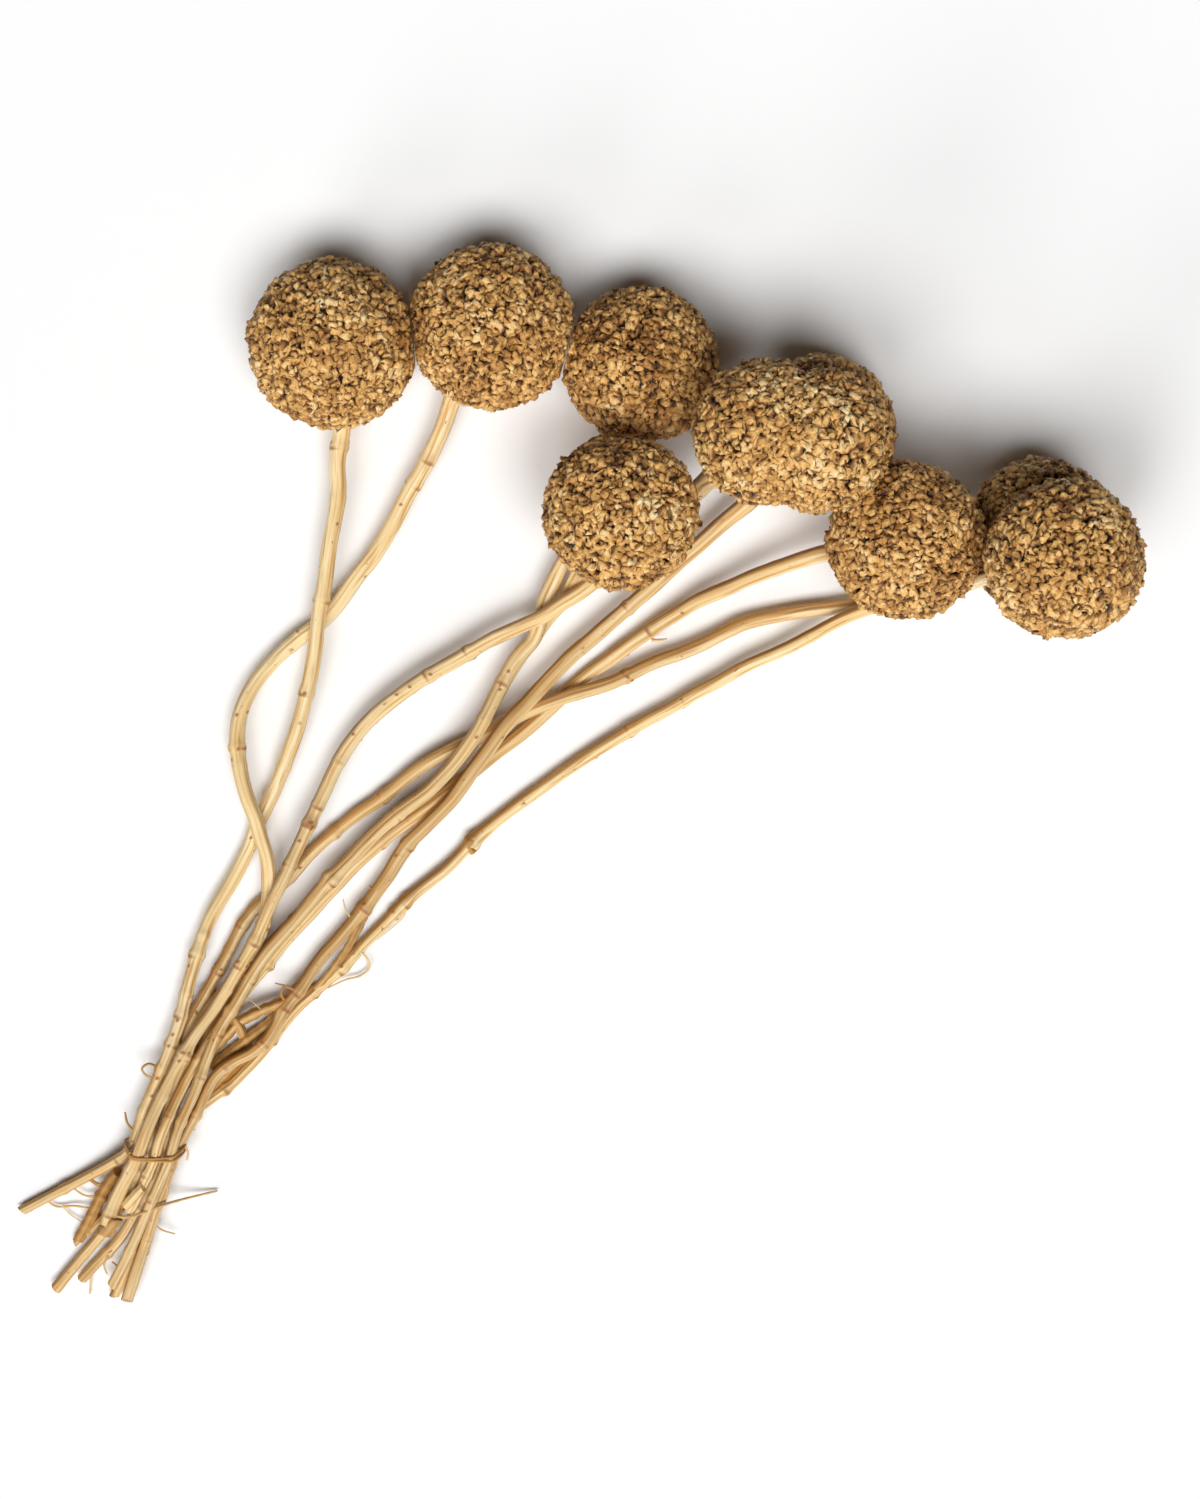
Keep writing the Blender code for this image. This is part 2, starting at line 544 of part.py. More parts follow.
def build_tie(paths):
    """A flat band once round the stems, in the slanting plane in which it was pulled tight."""
    left, right, crown = (place(*point) for point in TIE_POINTS)
    middle = (left + right) / 2
    across = unit(right - left)
    over = unit(crown - middle - across * ((crown - middle) @ across))
    lengthwise = np.cross(across, over)
    clearance = GAP_MM + TIE_SLACK_MM + TIE_THICKNESS_MM / 2
    around = np.radians(np.arange(0, 360, 15))
    cuts = []
    for key, path in paths.items():
        side = (path - middle) @ lengthwise
        for index in np.nonzero(side[:-1] * side[1:] < 0)[0]:
            share = side[index] / (side[index] - side[index + 1])
            spot = path[index] + (path[index + 1] - path[index]) * share - middle
            run = unit(path[index + 1] - path[index])
            slant = 1 / abs(run @ lengthwise)
            lean = unit(np.array((run @ across, run @ over)))
            _, _, _, at_tie, _ = THICKNESS_MM[key]
            narrow = at_tie * (1 + STEM_STRAY) + clearance
            wide = narrow * slant + TIE_WIDTH_MM / 2 * math.sqrt(slant**2 - 1)
            ring = np.outer(np.cos(around), lean) * wide
            ring += np.outer(np.sin(around), (-lean[1], lean[0])) * narrow
            cuts.extend(ring + (spot @ across, spot @ over))
    corners = outline_of(cuts)
    closed = np.vstack((corners, corners[:1]))
    along = lengths_along(closed)
    stops = np.linspace(0, along[-1], TIE_RINGS + 1)[:-1]
    loop = np.stack([np.interp(stops, along, closed[:, axis]) for axis in range(2)], axis=1)

    mesh = bmesh.new()
    rings = []
    for index, spot in enumerate(loop):
        ahead = loop[(index + 1) % len(loop)] - loop[index - 1]
        outward = unit(np.array((ahead[1], -ahead[0])))
        ring = []
        for wide, thick in TIE_SECTION:
            flat = spot + outward * thick * TIE_THICKNESS_MM
            point = across * flat[0] + over * flat[1] + lengthwise * wide * TIE_WIDTH_MM
            ring.append(mesh.verts.new(point * MM))
        rings.append(ring)
    for index, ring in enumerate(rings):
        following = rings[(index + 1) % len(rings)]
        for side, vert in enumerate(ring):
            corner = (side + 1) % len(ring)
            mesh.faces.new((vert, ring[corner], following[corner], following[side]))
    bmesh.ops.triangulate(mesh, faces=mesh.faces)
    bmesh.ops.recalc_face_normals(mesh, faces=mesh.faces)
    data = bpy.data.meshes.new("tie")
    mesh.to_mesh(data)
    mesh.free()
    material = finish("tie", TIE_COLOUR, TIE_ROUGHNESS, random.Random("tie"))
    return add_object("tie", data, material, middle)


def main():
    clear_scene()
    for key in HEADS:
        build_head(key)
    paths = stem_paths()
    for key, path in paths.items():
        build_stem(key, path)
    build_tie(paths)


main()
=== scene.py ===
# %% [markdown]
# # A bunch of dried craspedia
# Nine round flower heads on nine dry stems lie on a table, held by a strand of plant fibre near their
# cut ends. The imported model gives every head, stem and the tie its place and size. This script gives
# them their looks: hundreds of curled florets on each head, ribbed straw stems, and the fine shoots
# and fibres that are too thin for the model.

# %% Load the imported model
import math
import random

import bmesh
import bpy
import numpy as np
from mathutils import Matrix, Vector, noise


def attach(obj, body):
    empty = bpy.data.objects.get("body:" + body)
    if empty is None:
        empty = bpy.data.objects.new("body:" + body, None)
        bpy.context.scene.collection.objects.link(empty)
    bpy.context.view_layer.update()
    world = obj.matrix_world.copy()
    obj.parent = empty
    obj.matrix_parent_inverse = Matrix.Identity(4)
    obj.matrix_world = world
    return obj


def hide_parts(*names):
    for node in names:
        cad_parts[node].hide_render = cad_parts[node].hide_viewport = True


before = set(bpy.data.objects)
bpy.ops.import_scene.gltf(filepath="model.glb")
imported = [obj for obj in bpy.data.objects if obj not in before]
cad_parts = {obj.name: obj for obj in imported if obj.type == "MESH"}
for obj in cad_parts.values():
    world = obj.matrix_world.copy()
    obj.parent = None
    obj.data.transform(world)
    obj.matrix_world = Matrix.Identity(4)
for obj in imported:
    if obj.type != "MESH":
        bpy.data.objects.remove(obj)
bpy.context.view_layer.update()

MM = 0.001
# Without a seed, the vectors that noise gives differ from run to run
NOISE_SEED = 5
noise.seed_set(NOISE_SEED)
print("nodes:", ", ".join(sorted(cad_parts)))

# %% [markdown]
# ## The camera
# The photograph looks straight down. A camera with no tilt does the same, so only its height, its turn
# and its lens are left to choose. The lens follows from the width of the view on the table, and the
# long side of the picture is the one that the sensor's width is given for.

# %% Camera
EYE_HEIGHT = 0.9
METRES_PER_PIXEL = 0.000214
PHOTO_HEIGHT = 1499
VIEW_MIDDLE = (600.0, 749.5)
TURN = math.radians(50.5)
BUNCH_MIDDLE = (-0.0266, 0.0253)
SENSOR_MM = 36.0

bpy.ops.object.camera_add(
    location=(-BUNCH_MIDDLE[0], -BUNCH_MIDDLE[1], EYE_HEIGHT), rotation=(0, 0, -TURN)
)
camera = bpy.context.object
camera.data.sensor_width = SENSOR_MM
camera.data.lens = SENSOR_MM * EYE_HEIGHT / (PHOTO_HEIGHT * METRES_PER_PIXEL)
bpy.context.scene.camera = camera
print("lens:", round(camera.data.lens, 1), "mm")


def place(x, y, height):
    """The spot that shows at (x, y) in the view when it is this high above the table."""
    scale = METRES_PER_PIXEL * (EYE_HEIGHT - height) / EYE_HEIGHT
    right = (x - VIEW_MIDDLE[0]) * scale
    up = (VIEW_MIDDLE[1] - y) * scale
    along = right * math.cos(TURN) + up * math.sin(TURN) - BUNCH_MIDDLE[0]
    across = up * math.cos(TURN) - right * math.sin(TURN) - BUNCH_MIDDLE[1]
    return np.array((along, across, height))


# %% [markdown]
# ## Light
# All soft lights stand on the near side of the table, and none on the far side. Together they work as
# one very broad window: the shadow of a head that touches the table is nearly black at its foot, while
# one that is carried higher up only greys the table. A sun lamp lights the whole table evenly, and its
# angle sets how soft its shadows are. The sky gives almost no light, but it shows white, so that a low
# view has a plain background.

# %% Light
# Each: name, height and turn in degrees, and its share of the light on the table
LIGHTS = [
    ("middle_light", 69, 0, 0.16),
    ("right_light", 65, 30, 0.40),
    ("left_light", 61, -30, 0.30),
    ("low_light", 30, -30, 0.11),
]
LIGHT_SPREAD = math.radians(24)
TABLE_WHITE = 0.94
SKY_STRENGTH = 0.02
SKY_SHOWN = 0.95

down_view = np.array((-math.sin(TURN), -math.cos(TURN), 0.0))
right_view = np.array((math.cos(TURN), -math.sin(TURN), 0.0))
for name, height, turn, share in LIGHTS:
    height = math.radians(height)
    turn = math.radians(turn)
    towards = (down_view * math.cos(turn) + right_view * math.sin(turn)) * math.cos(height)
    towards[2] = math.sin(height)
    bpy.ops.object.light_add(type="SUN", location=towards)
    light = bpy.context.object
    light.name = name
    light.data.angle = LIGHT_SPREAD
    light.data.energy = share * math.pi / (TABLE_WHITE * math.sin(height))
    light.rotation_euler = Vector(towards).to_track_quat("Z", "Y").to_euler()
bpy.context.scene.view_settings.view_transform = "Standard"
print("lights:", ", ".join(name for name, *_ in LIGHTS))

# %% [markdown]
# ## Shader maths in plain Python
# A pattern is easier to read as a sum than as a web of nodes. The small class below wraps a socket,
# and each operator on it adds one Math node. A second class holds one finish and adds all other nodes.


# %% Shader maths
class Number:
    """A number from a shader socket. Arithmetic on it adds Math nodes."""

    def __init__(self, tree, socket):
        self.tree = tree
        self.socket = socket

    def maths(self, operation, first, second):
        node = self.tree.nodes.new("ShaderNodeMath")
        node.operation = operation
        for socket, value in zip(node.inputs, (first, second)):
            if isinstance(value, Number):
                self.tree.links.new(value.socket, socket)
            else:
                socket.default_value = value
        return Number(self.tree, node.outputs[0])

    def __add__(self, other):
        return self.maths("ADD", self, other)

    def __radd__(self, other):
        return self.maths("ADD", other, self)

    def __sub__(self, other):
        return self.maths("SUBTRACT", self, other)

    def __rsub__(self, other):
        return self.maths("SUBTRACT", other, self)

    def __mul__(self, other):
        return self.maths("MULTIPLY", self, other)

    def __rmul__(self, other):
        return self.maths("MULTIPLY", other, self)


class Finish:
    """One material and the nodes that paint it."""

    def __init__(self, name, roughness):
        self.material = bpy.data.materials.new(name)
        self.material.use_nodes = True
        self.tree = self.material.node_tree
        self.shader = self.tree.nodes["Principled BSDF"]
        self.shader.inputs["Roughness"].default_value = roughness

    def give(self, socket, value):
        if isinstance(value, Number):
            value = value.socket
        if isinstance(value, bpy.types.NodeSocket):
            self.tree.links.new(value, socket)
        else:
            socket.default_value = value

    def paint(self, name, value):
        self.give(self.shader.inputs[name], value)

    def node(self, kind, settings, sockets):
        """Adds a node, sets it up, and gives each named socket its value or its link."""
        node = self.tree.nodes.new("ShaderNode" + kind)
        for name, value in settings.items():
            setattr(node, name, value)
        for name, value in sockets.items():
            found = [socket for socket in node.inputs if name in (socket.identifier, socket.name)]
            self.give(found[0], value)
        return node

    def number(self, node, output):
        return Number(self.tree, node.outputs[output])

    def here(self):
        """Where each point is in the piece's own space, in metres."""
        return self.node("TexCoord", {}, {}).outputs["Object"]

    def own(self, name):
        """A number that the mesh itself carries at each point."""
        return self.number(self.node("Attribute", {"attribute_name": name}, {}), "Fac")

    def clouds(self, where, scale, detail=2.0, roughness=0.5):
        sockets = {"Vector": where, "Scale": scale, "Detail": detail, "Roughness": roughness}
        return self.number(self.node("TexNoise", {}, sockets), "Fac")

    def stretched(self, where, scale):
        """The same place with each axis stretched, so that a pattern grows long one way."""
        node = self.node("Mapping", {}, {"Vector": where, "Scale": scale})
        return node.outputs["Vector"]

    def between(self, value, low, high):
        """0 up to low, 1 from high, and a smooth rise between them."""
        sockets = {"Value": value, "From Min": low, "From Max": high}
        node = self.node("MapRange", {"interpolation_type": "SMOOTHSTEP"}, sockets)
        return self.number(node, "Result")

    def blend(self, share, first, second):
        sockets = {"Factor_Float": share, "A_Color": first, "B_Color": second}
        node = self.node("Mix", {"data_type": "RGBA"}, sockets)
        return [socket for socket in node.outputs if socket.identifier == "Result_Color"][0]

    def ramp(self, share, stops):
        node = self.node("ValToRGB", {}, {"Fac": share})
        for _ in stops[2:]:
            node.color_ramp.elements.new(0.5)
        for element, (position, colour) in zip(node.color_ramp.elements, stops):
            element.position = position
            element.color = colour
        return node.outputs["Color"]

    def bump(self, height, distance, strength=1.0):
        node = self.node("Bump", {}, {"Height": height, "Distance": distance, "Strength": strength})
        self.paint("Normal", node.outputs["Normal"])


def colour(red, green, blue):
    """A colour as it reads on a screen, 0 to 255, made ready for a shader."""
    parts = []
    for part in (red, green, blue):
        part /= 255
        parts.append(part / 12.92 if part <= 0.04045 else ((part + 0.055) / 1.055) ** 2.4)
    return (*parts, 1.0)


# %% Sky
sky = bpy.data.worlds.new("sky")
sky.use_nodes = True
seen = Number(sky.node_tree, sky.node_tree.nodes.new("ShaderNodeLightPath").outputs["Is Camera Ray"])
sky_light = seen * SKY_SHOWN + SKY_STRENGTH
backdrop = sky.node_tree.nodes["Background"]
backdrop.inputs["Color"].default_value = (1, 1, 1, 1)
sky.node_tree.links.new(sky_light.socket, backdrop.inputs["Strength"])
bpy.context.scene.world = sky
print("sky: shows", SKY_SHOWN + SKY_STRENGTH, "and lights with", SKY_STRENGTH)

# %% [markdown]
# ## Floret finish
# A dried floret is thin and papery, cream on its curled lips. Below the lips the colour darkens with
# depth, through tan on its sides to nearly black down its throat: that darkening is painted shade. The
# mesh carries a number called lip, which is 0 deep in the head and 1 at the lips, and a number called
# tint, which differs from floret to floret. Wide clouds make some sides of a head browner than others,
# and finer ones mottle each floret.

# %% Floret finish
florets = Finish("dry_floret", 0.75)
here = florets.here()
lip = florets.own("lip")
tint = florets.own("tint")
patches = florets.clouds(here, 80.0, 2.0)
mottle = florets.clouds(here, 800.0, 3.0, 0.6)
papery = florets.clouds(here, 2600.0, 2.0, 0.6)
warmth = tint * 0.3 + patches * 0.6 + mottle * 0.8 - 0.32
petal = florets.ramp(
    warmth,
    [
        (0.0, colour(90, 50, 14)),
        (0.3, colour(172, 116, 50)),
        (0.6, colour(242, 190, 112)),
        (0.9, colour(255, 238, 186)),
    ],
)
# Painted shade: below the lips the side and depth colours darken each floret, nearly black in its throat
side = florets.blend(florets.between(warmth, 0.1, 0.8), colour(70, 38, 13), colour(160, 108, 52))
depth_shade = florets.blend(florets.between(lip, 0.25, 0.7), colour(24, 12, 4), side)
whole = florets.blend(florets.between(lip, 0.68, 1.0), depth_shade, petal)
florets.paint("Base Color", whole)
florets.paint("Roughness", 0.8 - papery * 0.45)
florets.bump(papery * 0.6 + mottle, 0.0006, 0.9)
print("floret finish:", len(florets.tree.nodes), "nodes")

# %% [markdown]
# ## Straw finish
# A dry stem is pale straw with fine lengthwise ribs, golden streaks, brown scars and dots, and a ring
# here and there where a leaf stood. Each stem carries its grain: where each point was on the stem when
# it was straight, in metres. Stretching the grain along the stem turns plain clouds into fibres. It
# also carries its tone, which is 0 where the straw is pale and 1 where it is brown, and which holds
# painted shade as well, browner on the side away from the lights. It carries its groove, which is 1
# deep between two ribs, where the straw is painted darker as shade, and its scar, which is 1 on a ring
# or a dot.

# %% Straw finish
PALE_STRAW = [(0.05, colour(208, 154, 82)), (0.4, colour(244, 212, 152)), (0.75, colour(255, 241, 204))]
BROWN_STRAW = [(0.05, colour(104, 62, 20)), (0.4, colour(178, 126, 56)), (0.8, colour(236, 194, 122))]
SCAR = colour(150, 84, 26)
STREAK = colour(196, 134, 58)
DOT_FROM = 0.77
DOT_TO = 0.81


def straw_finish(name, pale, brown, dotted):
    """A fibrous finish from a pale to a brown straw, with dots where dotted is more than 0."""
    straw = Finish(name, 0.5)
    grain = straw.node("Attribute", {"attribute_name": "grain"}, {}).outputs["Vector"]

    def long_clouds(stretch, *settings):
        return straw.clouds(straw.stretched(grain, (1, 1, stretch)), *settings)

    groove = straw.own("groove")
    bands = long_clouds(0.03, 800.0, 2.0)
    fibres = long_clouds(0.02, 3400.0, 3.0, 0.65)
    cloudy = long_clouds(0.25, 150.0, 2.0)
    # The groove term darkens the straw between the ribs: painted shade in the grooves
    share = bands * 0.75 + fibres * 0.4 + cloudy * 0.35 - 0.28 - groove * 0.3
    tone = straw.between(straw.own("tone") + cloudy * 0.5 - 0.25, 0.0, 1.0)
    base = straw.blend(tone, straw.ramp(share, pale), straw.ramp(share, brown))
    streaks = long_clouds(0.06, 1300.0, 1.0)
    base = straw.blend(straw.between(streaks, 0.56, 0.72) * 0.7, base, STREAK)
    dots = long_clouds(0.45, 1250.0, 1.0)
    base = straw.blend(straw.between(dots, DOT_FROM - dotted, DOT_TO - dotted) * 0.85, base, SCAR)
    base = straw.blend(straw.between(straw.own("scar") + fibres * 0.3, 0.3, 0.95) * 0.9, base, SCAR)
    straw.paint("Base Color", base)
    straw.paint("Roughness", 0.66 - fibres * 0.3)
    straw.bump(fibres * 0.7 + bands * 0.5 - groove * 0.4, 0.0004, 0.8)
    return straw.material


straw_material = straw_finish("dry_straw", PALE_STRAW, BROWN_STRAW, 0.03)
GOLDEN = [(0.05, colour(132, 86, 40)), (0.4, colour(190, 138, 74)), (0.8, colour(226, 182, 116))]
fibre_material = straw_finish("tie_fibre", GOLDEN, BROWN_STRAW, 0.0)
print("straw finish:", len(straw_material.node_tree.nodes), "nodes")

# %% [markdown]
# The cut end of a stem shows a pale woody rim round a soft pith, so it gets a finish of its own.

# %% Cut end and table finish
cut = Finish("cut_pith", 0.85)
cut_spots = cut.clouds(cut.here(), 2500.0, 3.0, 0.7)
cut.paint("Base Color", cut.ramp(cut_spots, [(0.3, colour(150, 104, 58)), (0.7, colour(236, 208, 160))]))
cut.bump(cut_spots, 0.0003)

TABLE_SIZE = 12.0
PAPER = [(0.0, (0.93, 0.93, 0.93, 1)), (1.0, (0.95, 0.95, 0.95, 1))]
paper = Finish("white_table", 0.6)
paper.paint("Base Color", paper.ramp(paper.clouds(paper.here(), 4.0, 3.0), PAPER))


def start_fresh():
    """Leaves nothing selected, so that the next operator acts only on the new piece."""
    if bpy.context.mode != "OBJECT":
        bpy.ops.object.mode_set(mode="OBJECT")
    bpy.ops.object.select_all(action="DESELECT")


start_fresh()
bpy.ops.mesh.primitive_plane_add(size=TABLE_SIZE)
table = bpy.context.object
table.name = "table"
table.data.materials.append(paper.material)
print("cut end:", len(cut.tree.nodes), "nodes, table:", TABLE_SIZE, "m wide")

# %% [markdown]
# ## One floret, modelled by hand
# A dry floret is a crumpled little cup that bulges against its neighbours: a narrow foot, a wide
# belly, a rolled lip in lobes and a small throat. It starts as a ten-sided disc. Extruding and resizing
# the disc four times draws all of that. A wave that runs round the cup then draws its corners out and
# up or in and down, which makes the lobes. One side is tipped up and folded over the throat, and a
# seeded shake crumples the rest. The repeats have few faces, because there are hundreds on each head.

# %% Floret
FLORET_SIDES = 10
FOOT_RADIUS = 0.9 * MM
FOOT_DEPTH = 1.9 * MM
BELLY_DEPTH = 0.45 * MM
BELLY_RADIUS = 1.55 * MM
LIP_RADIUS = 1.1 * MM
LIP_ROLL = 0.15 * MM
THROAT_SHARE = 0.45
MOUTH_WAVE = 0.5
LIP_WAVE = 0.17
FOLD_LINE = 0.1 * MM
SHAKE = 0.2 * MM
# The corners of the mouth lie between the first two heights, and the whole cup above the third
MOUTH_LOW = -0.3 * MM
MOUTH_HIGH = -0.05 * MM
CUP_LOW = -0.5 * MM


def take_shape(piece):
    """The corners and the faces of a piece, which is then removed."""
    corners = np.array([vert.co for vert in piece.data.vertices])
    faces = [tuple(face.vertices) for face in piece.data.polygons]
    bpy.data.objects.remove(piece)
    return corners, faces


def pull(piece, chosen, move=(0, 0, 0), size=(1, 1, 1)):
    """In edit mode: selects the corners that chosen accepts, then resizes and moves them."""
    shape = bmesh.from_edit_mesh(piece.data)
    shape.select_mode = {"VERT"}
    for corner in shape.verts:
        corner.select_set(chosen(corner.co))
    shape.select_flush_mode()
    bmesh.update_edit_mesh(piece.data)
    bpy.ops.transform.resize(value=size, center_override=(0, 0, 0))
    bpy.ops.transform.translate(value=move)


def raise_disc(height, size):
    """In edit mode: extrudes the selected face and resizes it."""
    bpy.ops.mesh.extrude_region_move(TRANSFORM_OT_translate={"value": (0, 0, height)})
    bpy.ops.transform.resize(value=(size, size, 1))


def turn_of(co):
    """Which of the disc's corners this is, counted round it."""
    return round(math.atan2(co.y, co.x) / math.tau * FLORET_SIDES) % FLORET_SIDES


def model_floret(name, mouth, mouth_depth, lobes, lobe, squeeze, lean, fold, seed):
    """One closed cup. Mouth is how wide it opens, lean tips its lip and fold shuts one side over it."""
    start_fresh()
    bpy.ops.mesh.primitive_circle_add(
        vertices=FLORET_SIDES, radius=FOOT_RADIUS, fill_type="NGON", location=(0, 0, -FOOT_DEPTH)
    )
    bpy.ops.object.transform_apply(location=True)
    piece = bpy.context.object
    piece.name = name
    bpy.ops.object.mode_set(mode="EDIT")
    bpy.ops.mesh.select_all(action="SELECT")
    raise_disc(FOOT_DEPTH - BELLY_DEPTH, BELLY_RADIUS / FOOT_RADIUS)
    raise_disc(BELLY_DEPTH, LIP_RADIUS / BELLY_RADIUS)
    raise_disc(-LIP_ROLL, mouth / LIP_RADIUS)
    raise_disc(-mouth_depth, THROAT_SHARE)

    def on_top(co):
        return co.z > CUP_LOW

    def at_mouth(co):
        return MOUTH_LOW < co.z < MOUTH_HIGH

    for step in range(FLORET_SIDES):
        wave = math.cos(lobes * math.tau * step / FLORET_SIDES + seed)
        narrowed = 1 - MOUTH_WAVE * wave
        grown = 1 + LIP_WAVE * wave
        pull(piece, lambda co: at_mouth(co) and turn_of(co) == step, size=(narrowed, narrowed, 1))
        pull(piece, lambda co: on_top(co) and turn_of(co) == step, (0, 0, lobe * wave), (grown, grown, 1))
    pull(piece, on_top, size=(squeeze, 1 / squeeze, 1))
    pull(piece, lambda co: on_top(co) and co.x > FOLD_LINE, (-fold, 0, lean))
    bpy.ops.mesh.select_all(action="SELECT")
    bpy.ops.transform.vertex_random(offset=SHAKE, uniform=1.0, seed=seed)
    bpy.ops.mesh.normals_make_consistent(inside=False)
    bpy.ops.object.mode_set(mode="OBJECT")
    return take_shape(piece)


# Each kind: name, mouth mm, depth of the mouth mm, lobes and their height mm, squeeze, lean mm, fold mm
FLORET_SHAPES = [
    ("three_lobes", 0.42, 1.0, 3, 0.34, 1.0, 0.1, 0.1),
    ("wide_cup", 0.5, 1.0, 2, 0.34, 1.1, 0.2, 0.15),
    ("slit", 0.38, 1.0, 2, 0.3, 1.3, 0.2, 0.2),
    ("curled_over", 0.38, 0.9, 1, 0.4, 1.1, 0.4, 0.35),
    ("folded_flake", 0.34, 0.7, 1, 0.5, 1.2, 0.45, 0.45),
    ("crumpled", 0.36, 0.7, 3, 0.48, 0.9, 0.25, 0.3),
    ("closed_bud", 0.3, 0.5, 2, 0.28, 1.05, 0.2, 0.1),
    ("ruffled", 0.42, 0.9, 4, 0.4, 1.15, 0.15, 0.2),
]
FLORET_KINDS = []
for seed, (name, mouth, deep, lobes, lobe, squeeze, lean, fold) in enumerate(FLORET_SHAPES, 1):
    sizes = (mouth * MM, deep * MM, lobes, lobe * MM, squeeze, lean * MM, fold * MM)
    FLORET_KINDS.append(model_floret(name, *sizes, seed))
triangles = sum(len(face) - 2 for face in FLORET_KINDS[0][1])
print("floret kinds:", len(FLORET_KINDS), "with", triangles, "triangles each")

# %% [markdown]
# ## The heads
# Florets grow in a spiral, each turned from the last by the golden angle, which spreads them evenly
# over the ball. Each copy gets its own kind, turn, lean, size and depth, and then the whole skin is
# warped a little by smooth noise, so that no two florets match.

# %% Head places
# Each: its balls as (x, y, height mm, radius mm), a spot that its stem passes, and how steeply the stem
# drops there, in degrees
HEADS = {
    "a": ([(333, 344, 16.5, 17.5)], (340, 428), 20),
    "b": ([(491, 327, 16.1, 17.1)], (450, 400), 20),
    "c": ([(641, 365, 15.1, 16.1)], (630, 440), 25),
    "d": ([(621, 512, 32.0, 15.7)], (579, 573), 55),
    "e": ([(765, 432, 42.3, 14.5), (820, 441, 43.6, 14.4)], (712, 478), 40),
    "f": ([(820, 431, 14.7, 15.7)], (752, 500), 20),
    "g": ([(906, 540, 29.2, 16.1)], (830, 553), 40),
    "h": ([(1065, 560, 45.2, 15.9)], (990, 577), 50),
    "i": ([(1040, 536, 14.9, 15.8)], (975, 574), 25),
}


def unit(vector):
    return vector / np.linalg.norm(vector)


def balls_of(key):
    """The balls of a head as (middle, radius)."""
    return [(place(x, y, high * MM), radius * MM) for x, y, high, radius in HEADS[key][0]]


def stem_way(key):
    """The ball that the stem meets, and the direction in which the stem leaves it."""
    middle, radius = balls_of(key)[0]
    _, (x, y), drop = HEADS[key]
    level = unit((place(x, y, middle[2]) - middle)[:2]) * math.cos(math.radians(drop))
    return middle, radius, np.array((level[0], level[1], -math.sin(math.radians(drop))))


print("widest ball of each head in mm:", {key: 2 * balls[0][3] for key, (balls, _, _) in HEADS.items()})

# %% [markdown]
# Where a head meets the table, its stem or a neighbour it is pressed flat, by the same planes as in the
# model. Two balls that would overlap meet in a plane, and each keeps back from it by half a small gap.

# %% Flat spots and surface
SEAT_SHARE = 0.97
GAP = 0.3 * MM


def pressed_planes(key):
    """Planes (normal, point) that the head stays behind."""
    middle, radius, way = stem_way(key)
    planes = [(np.array((0.0, 0.0, -1.0)), np.zeros(3)), (way, middle + way * radius * SEAT_SHARE)]
    for other in HEADS:
        if other == key:
            continue
        for centre, size in balls_of(key):
            for other_centre, other_size in balls_of(other):
                apart = np.linalg.norm(other_centre - centre)
                if apart < size + other_size + GAP:
                    normal = (other_centre - centre) / apart
                    share = (apart**2 + size**2 - other_size**2) / (2 * apart)
                    planes.append((normal, centre + normal * (share - GAP / 2)))
    return planes


def press(points, planes):
    """Moves every point that is past a plane back onto it."""
    for normal, point in planes:
        past = np.maximum((points - point) @ normal, 0)
        points = points - past[:, None] * normal
    return points


def surface_spot(direction, core, balls):
    """Where the head's skin lies in this direction, and which way it faces there."""
    furthest = 0.0
    facing = direction
    for centre, radius in balls:
        offset = centre - core
        along = direction @ offset
        inside = along**2 - offset @ offset + radius**2
        if inside > 0 and along + math.sqrt(inside) > furthest:
            furthest = along + math.sqrt(inside)
            facing = unit(core + direction * furthest - centre)
    return core + direction * furthest, facing


print("flat spots:", {key: len(pressed_planes(key)) for key in HEADS})

# %% [markdown]
# The core under the florets is a ball too, a little smaller than the head and painted nearly black, so
# that what shows between the florets is painted shade. It is part of the same mesh.

# %% Core and warp
CORE_FINENESS = 3
# Each: how large the waves of the noise are, and how far they shift a point
WARPS = ((1.8 * MM, 0.62 * MM), (8.0 * MM, 0.5 * MM))


def carry(mesh, name, values, kind="FLOAT", part="value"):
    """Gives every point of the mesh its own number, or its own vector."""
    carried = mesh.attributes.new(name, kind, "POINT")
    carried.data.foreach_set(part, values.astype(np.float32).ravel())


def add_piece(name, corners, faces, material):
    """A mesh object at the origin."""
    mesh = bpy.data.meshes.new(name)
    mesh.from_pydata(corners.tolist(), [], faces)
    mesh.materials.append(material)
    mesh.update()
    piece = bpy.data.objects.new(name, mesh)
    bpy.context.scene.collection.objects.link(piece)
    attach(piece, "root")
    return piece


def warp(points, seed):
    """Shifts every point by smooth noise, so that repeats stop looking alike."""
    start = Vector((seed * 7.3, seed * 3.1, seed * 5.7))
    for size, reach in WARPS:
        shift = [noise.noise_vector(Vector(point) / size + start) for point in points]
        points = points + np.array(shift) * reach
    return points


start_fresh()
bpy.ops.mesh.primitive_ico_sphere_add(subdivisions=CORE_FINENESS, radius=1)
CORE_CORNERS, CORE_FACES = take_shape(bpy.context.object)
print("core:", len(CORE_FACES), "triangles")

# %% [markdown]
# The florets stand in the spiral on the head's surface, sunk by different amounts, so that some lips
# lie over others. The number lip is worked out from how far below its own rim each point lies.

# %% Head pieces
FLORET_PITCH = 2.2 * MM
CORE_DEPTH = 1.0 * MM
FLORET_STRAY = 0.3
FLORET_LEAN = 0.36
FLORET_SIZES = (0.88, 1.16)
FLORET_LIFTS = (-0.48, 0.08)
LIP_REACH = 1.1 * MM
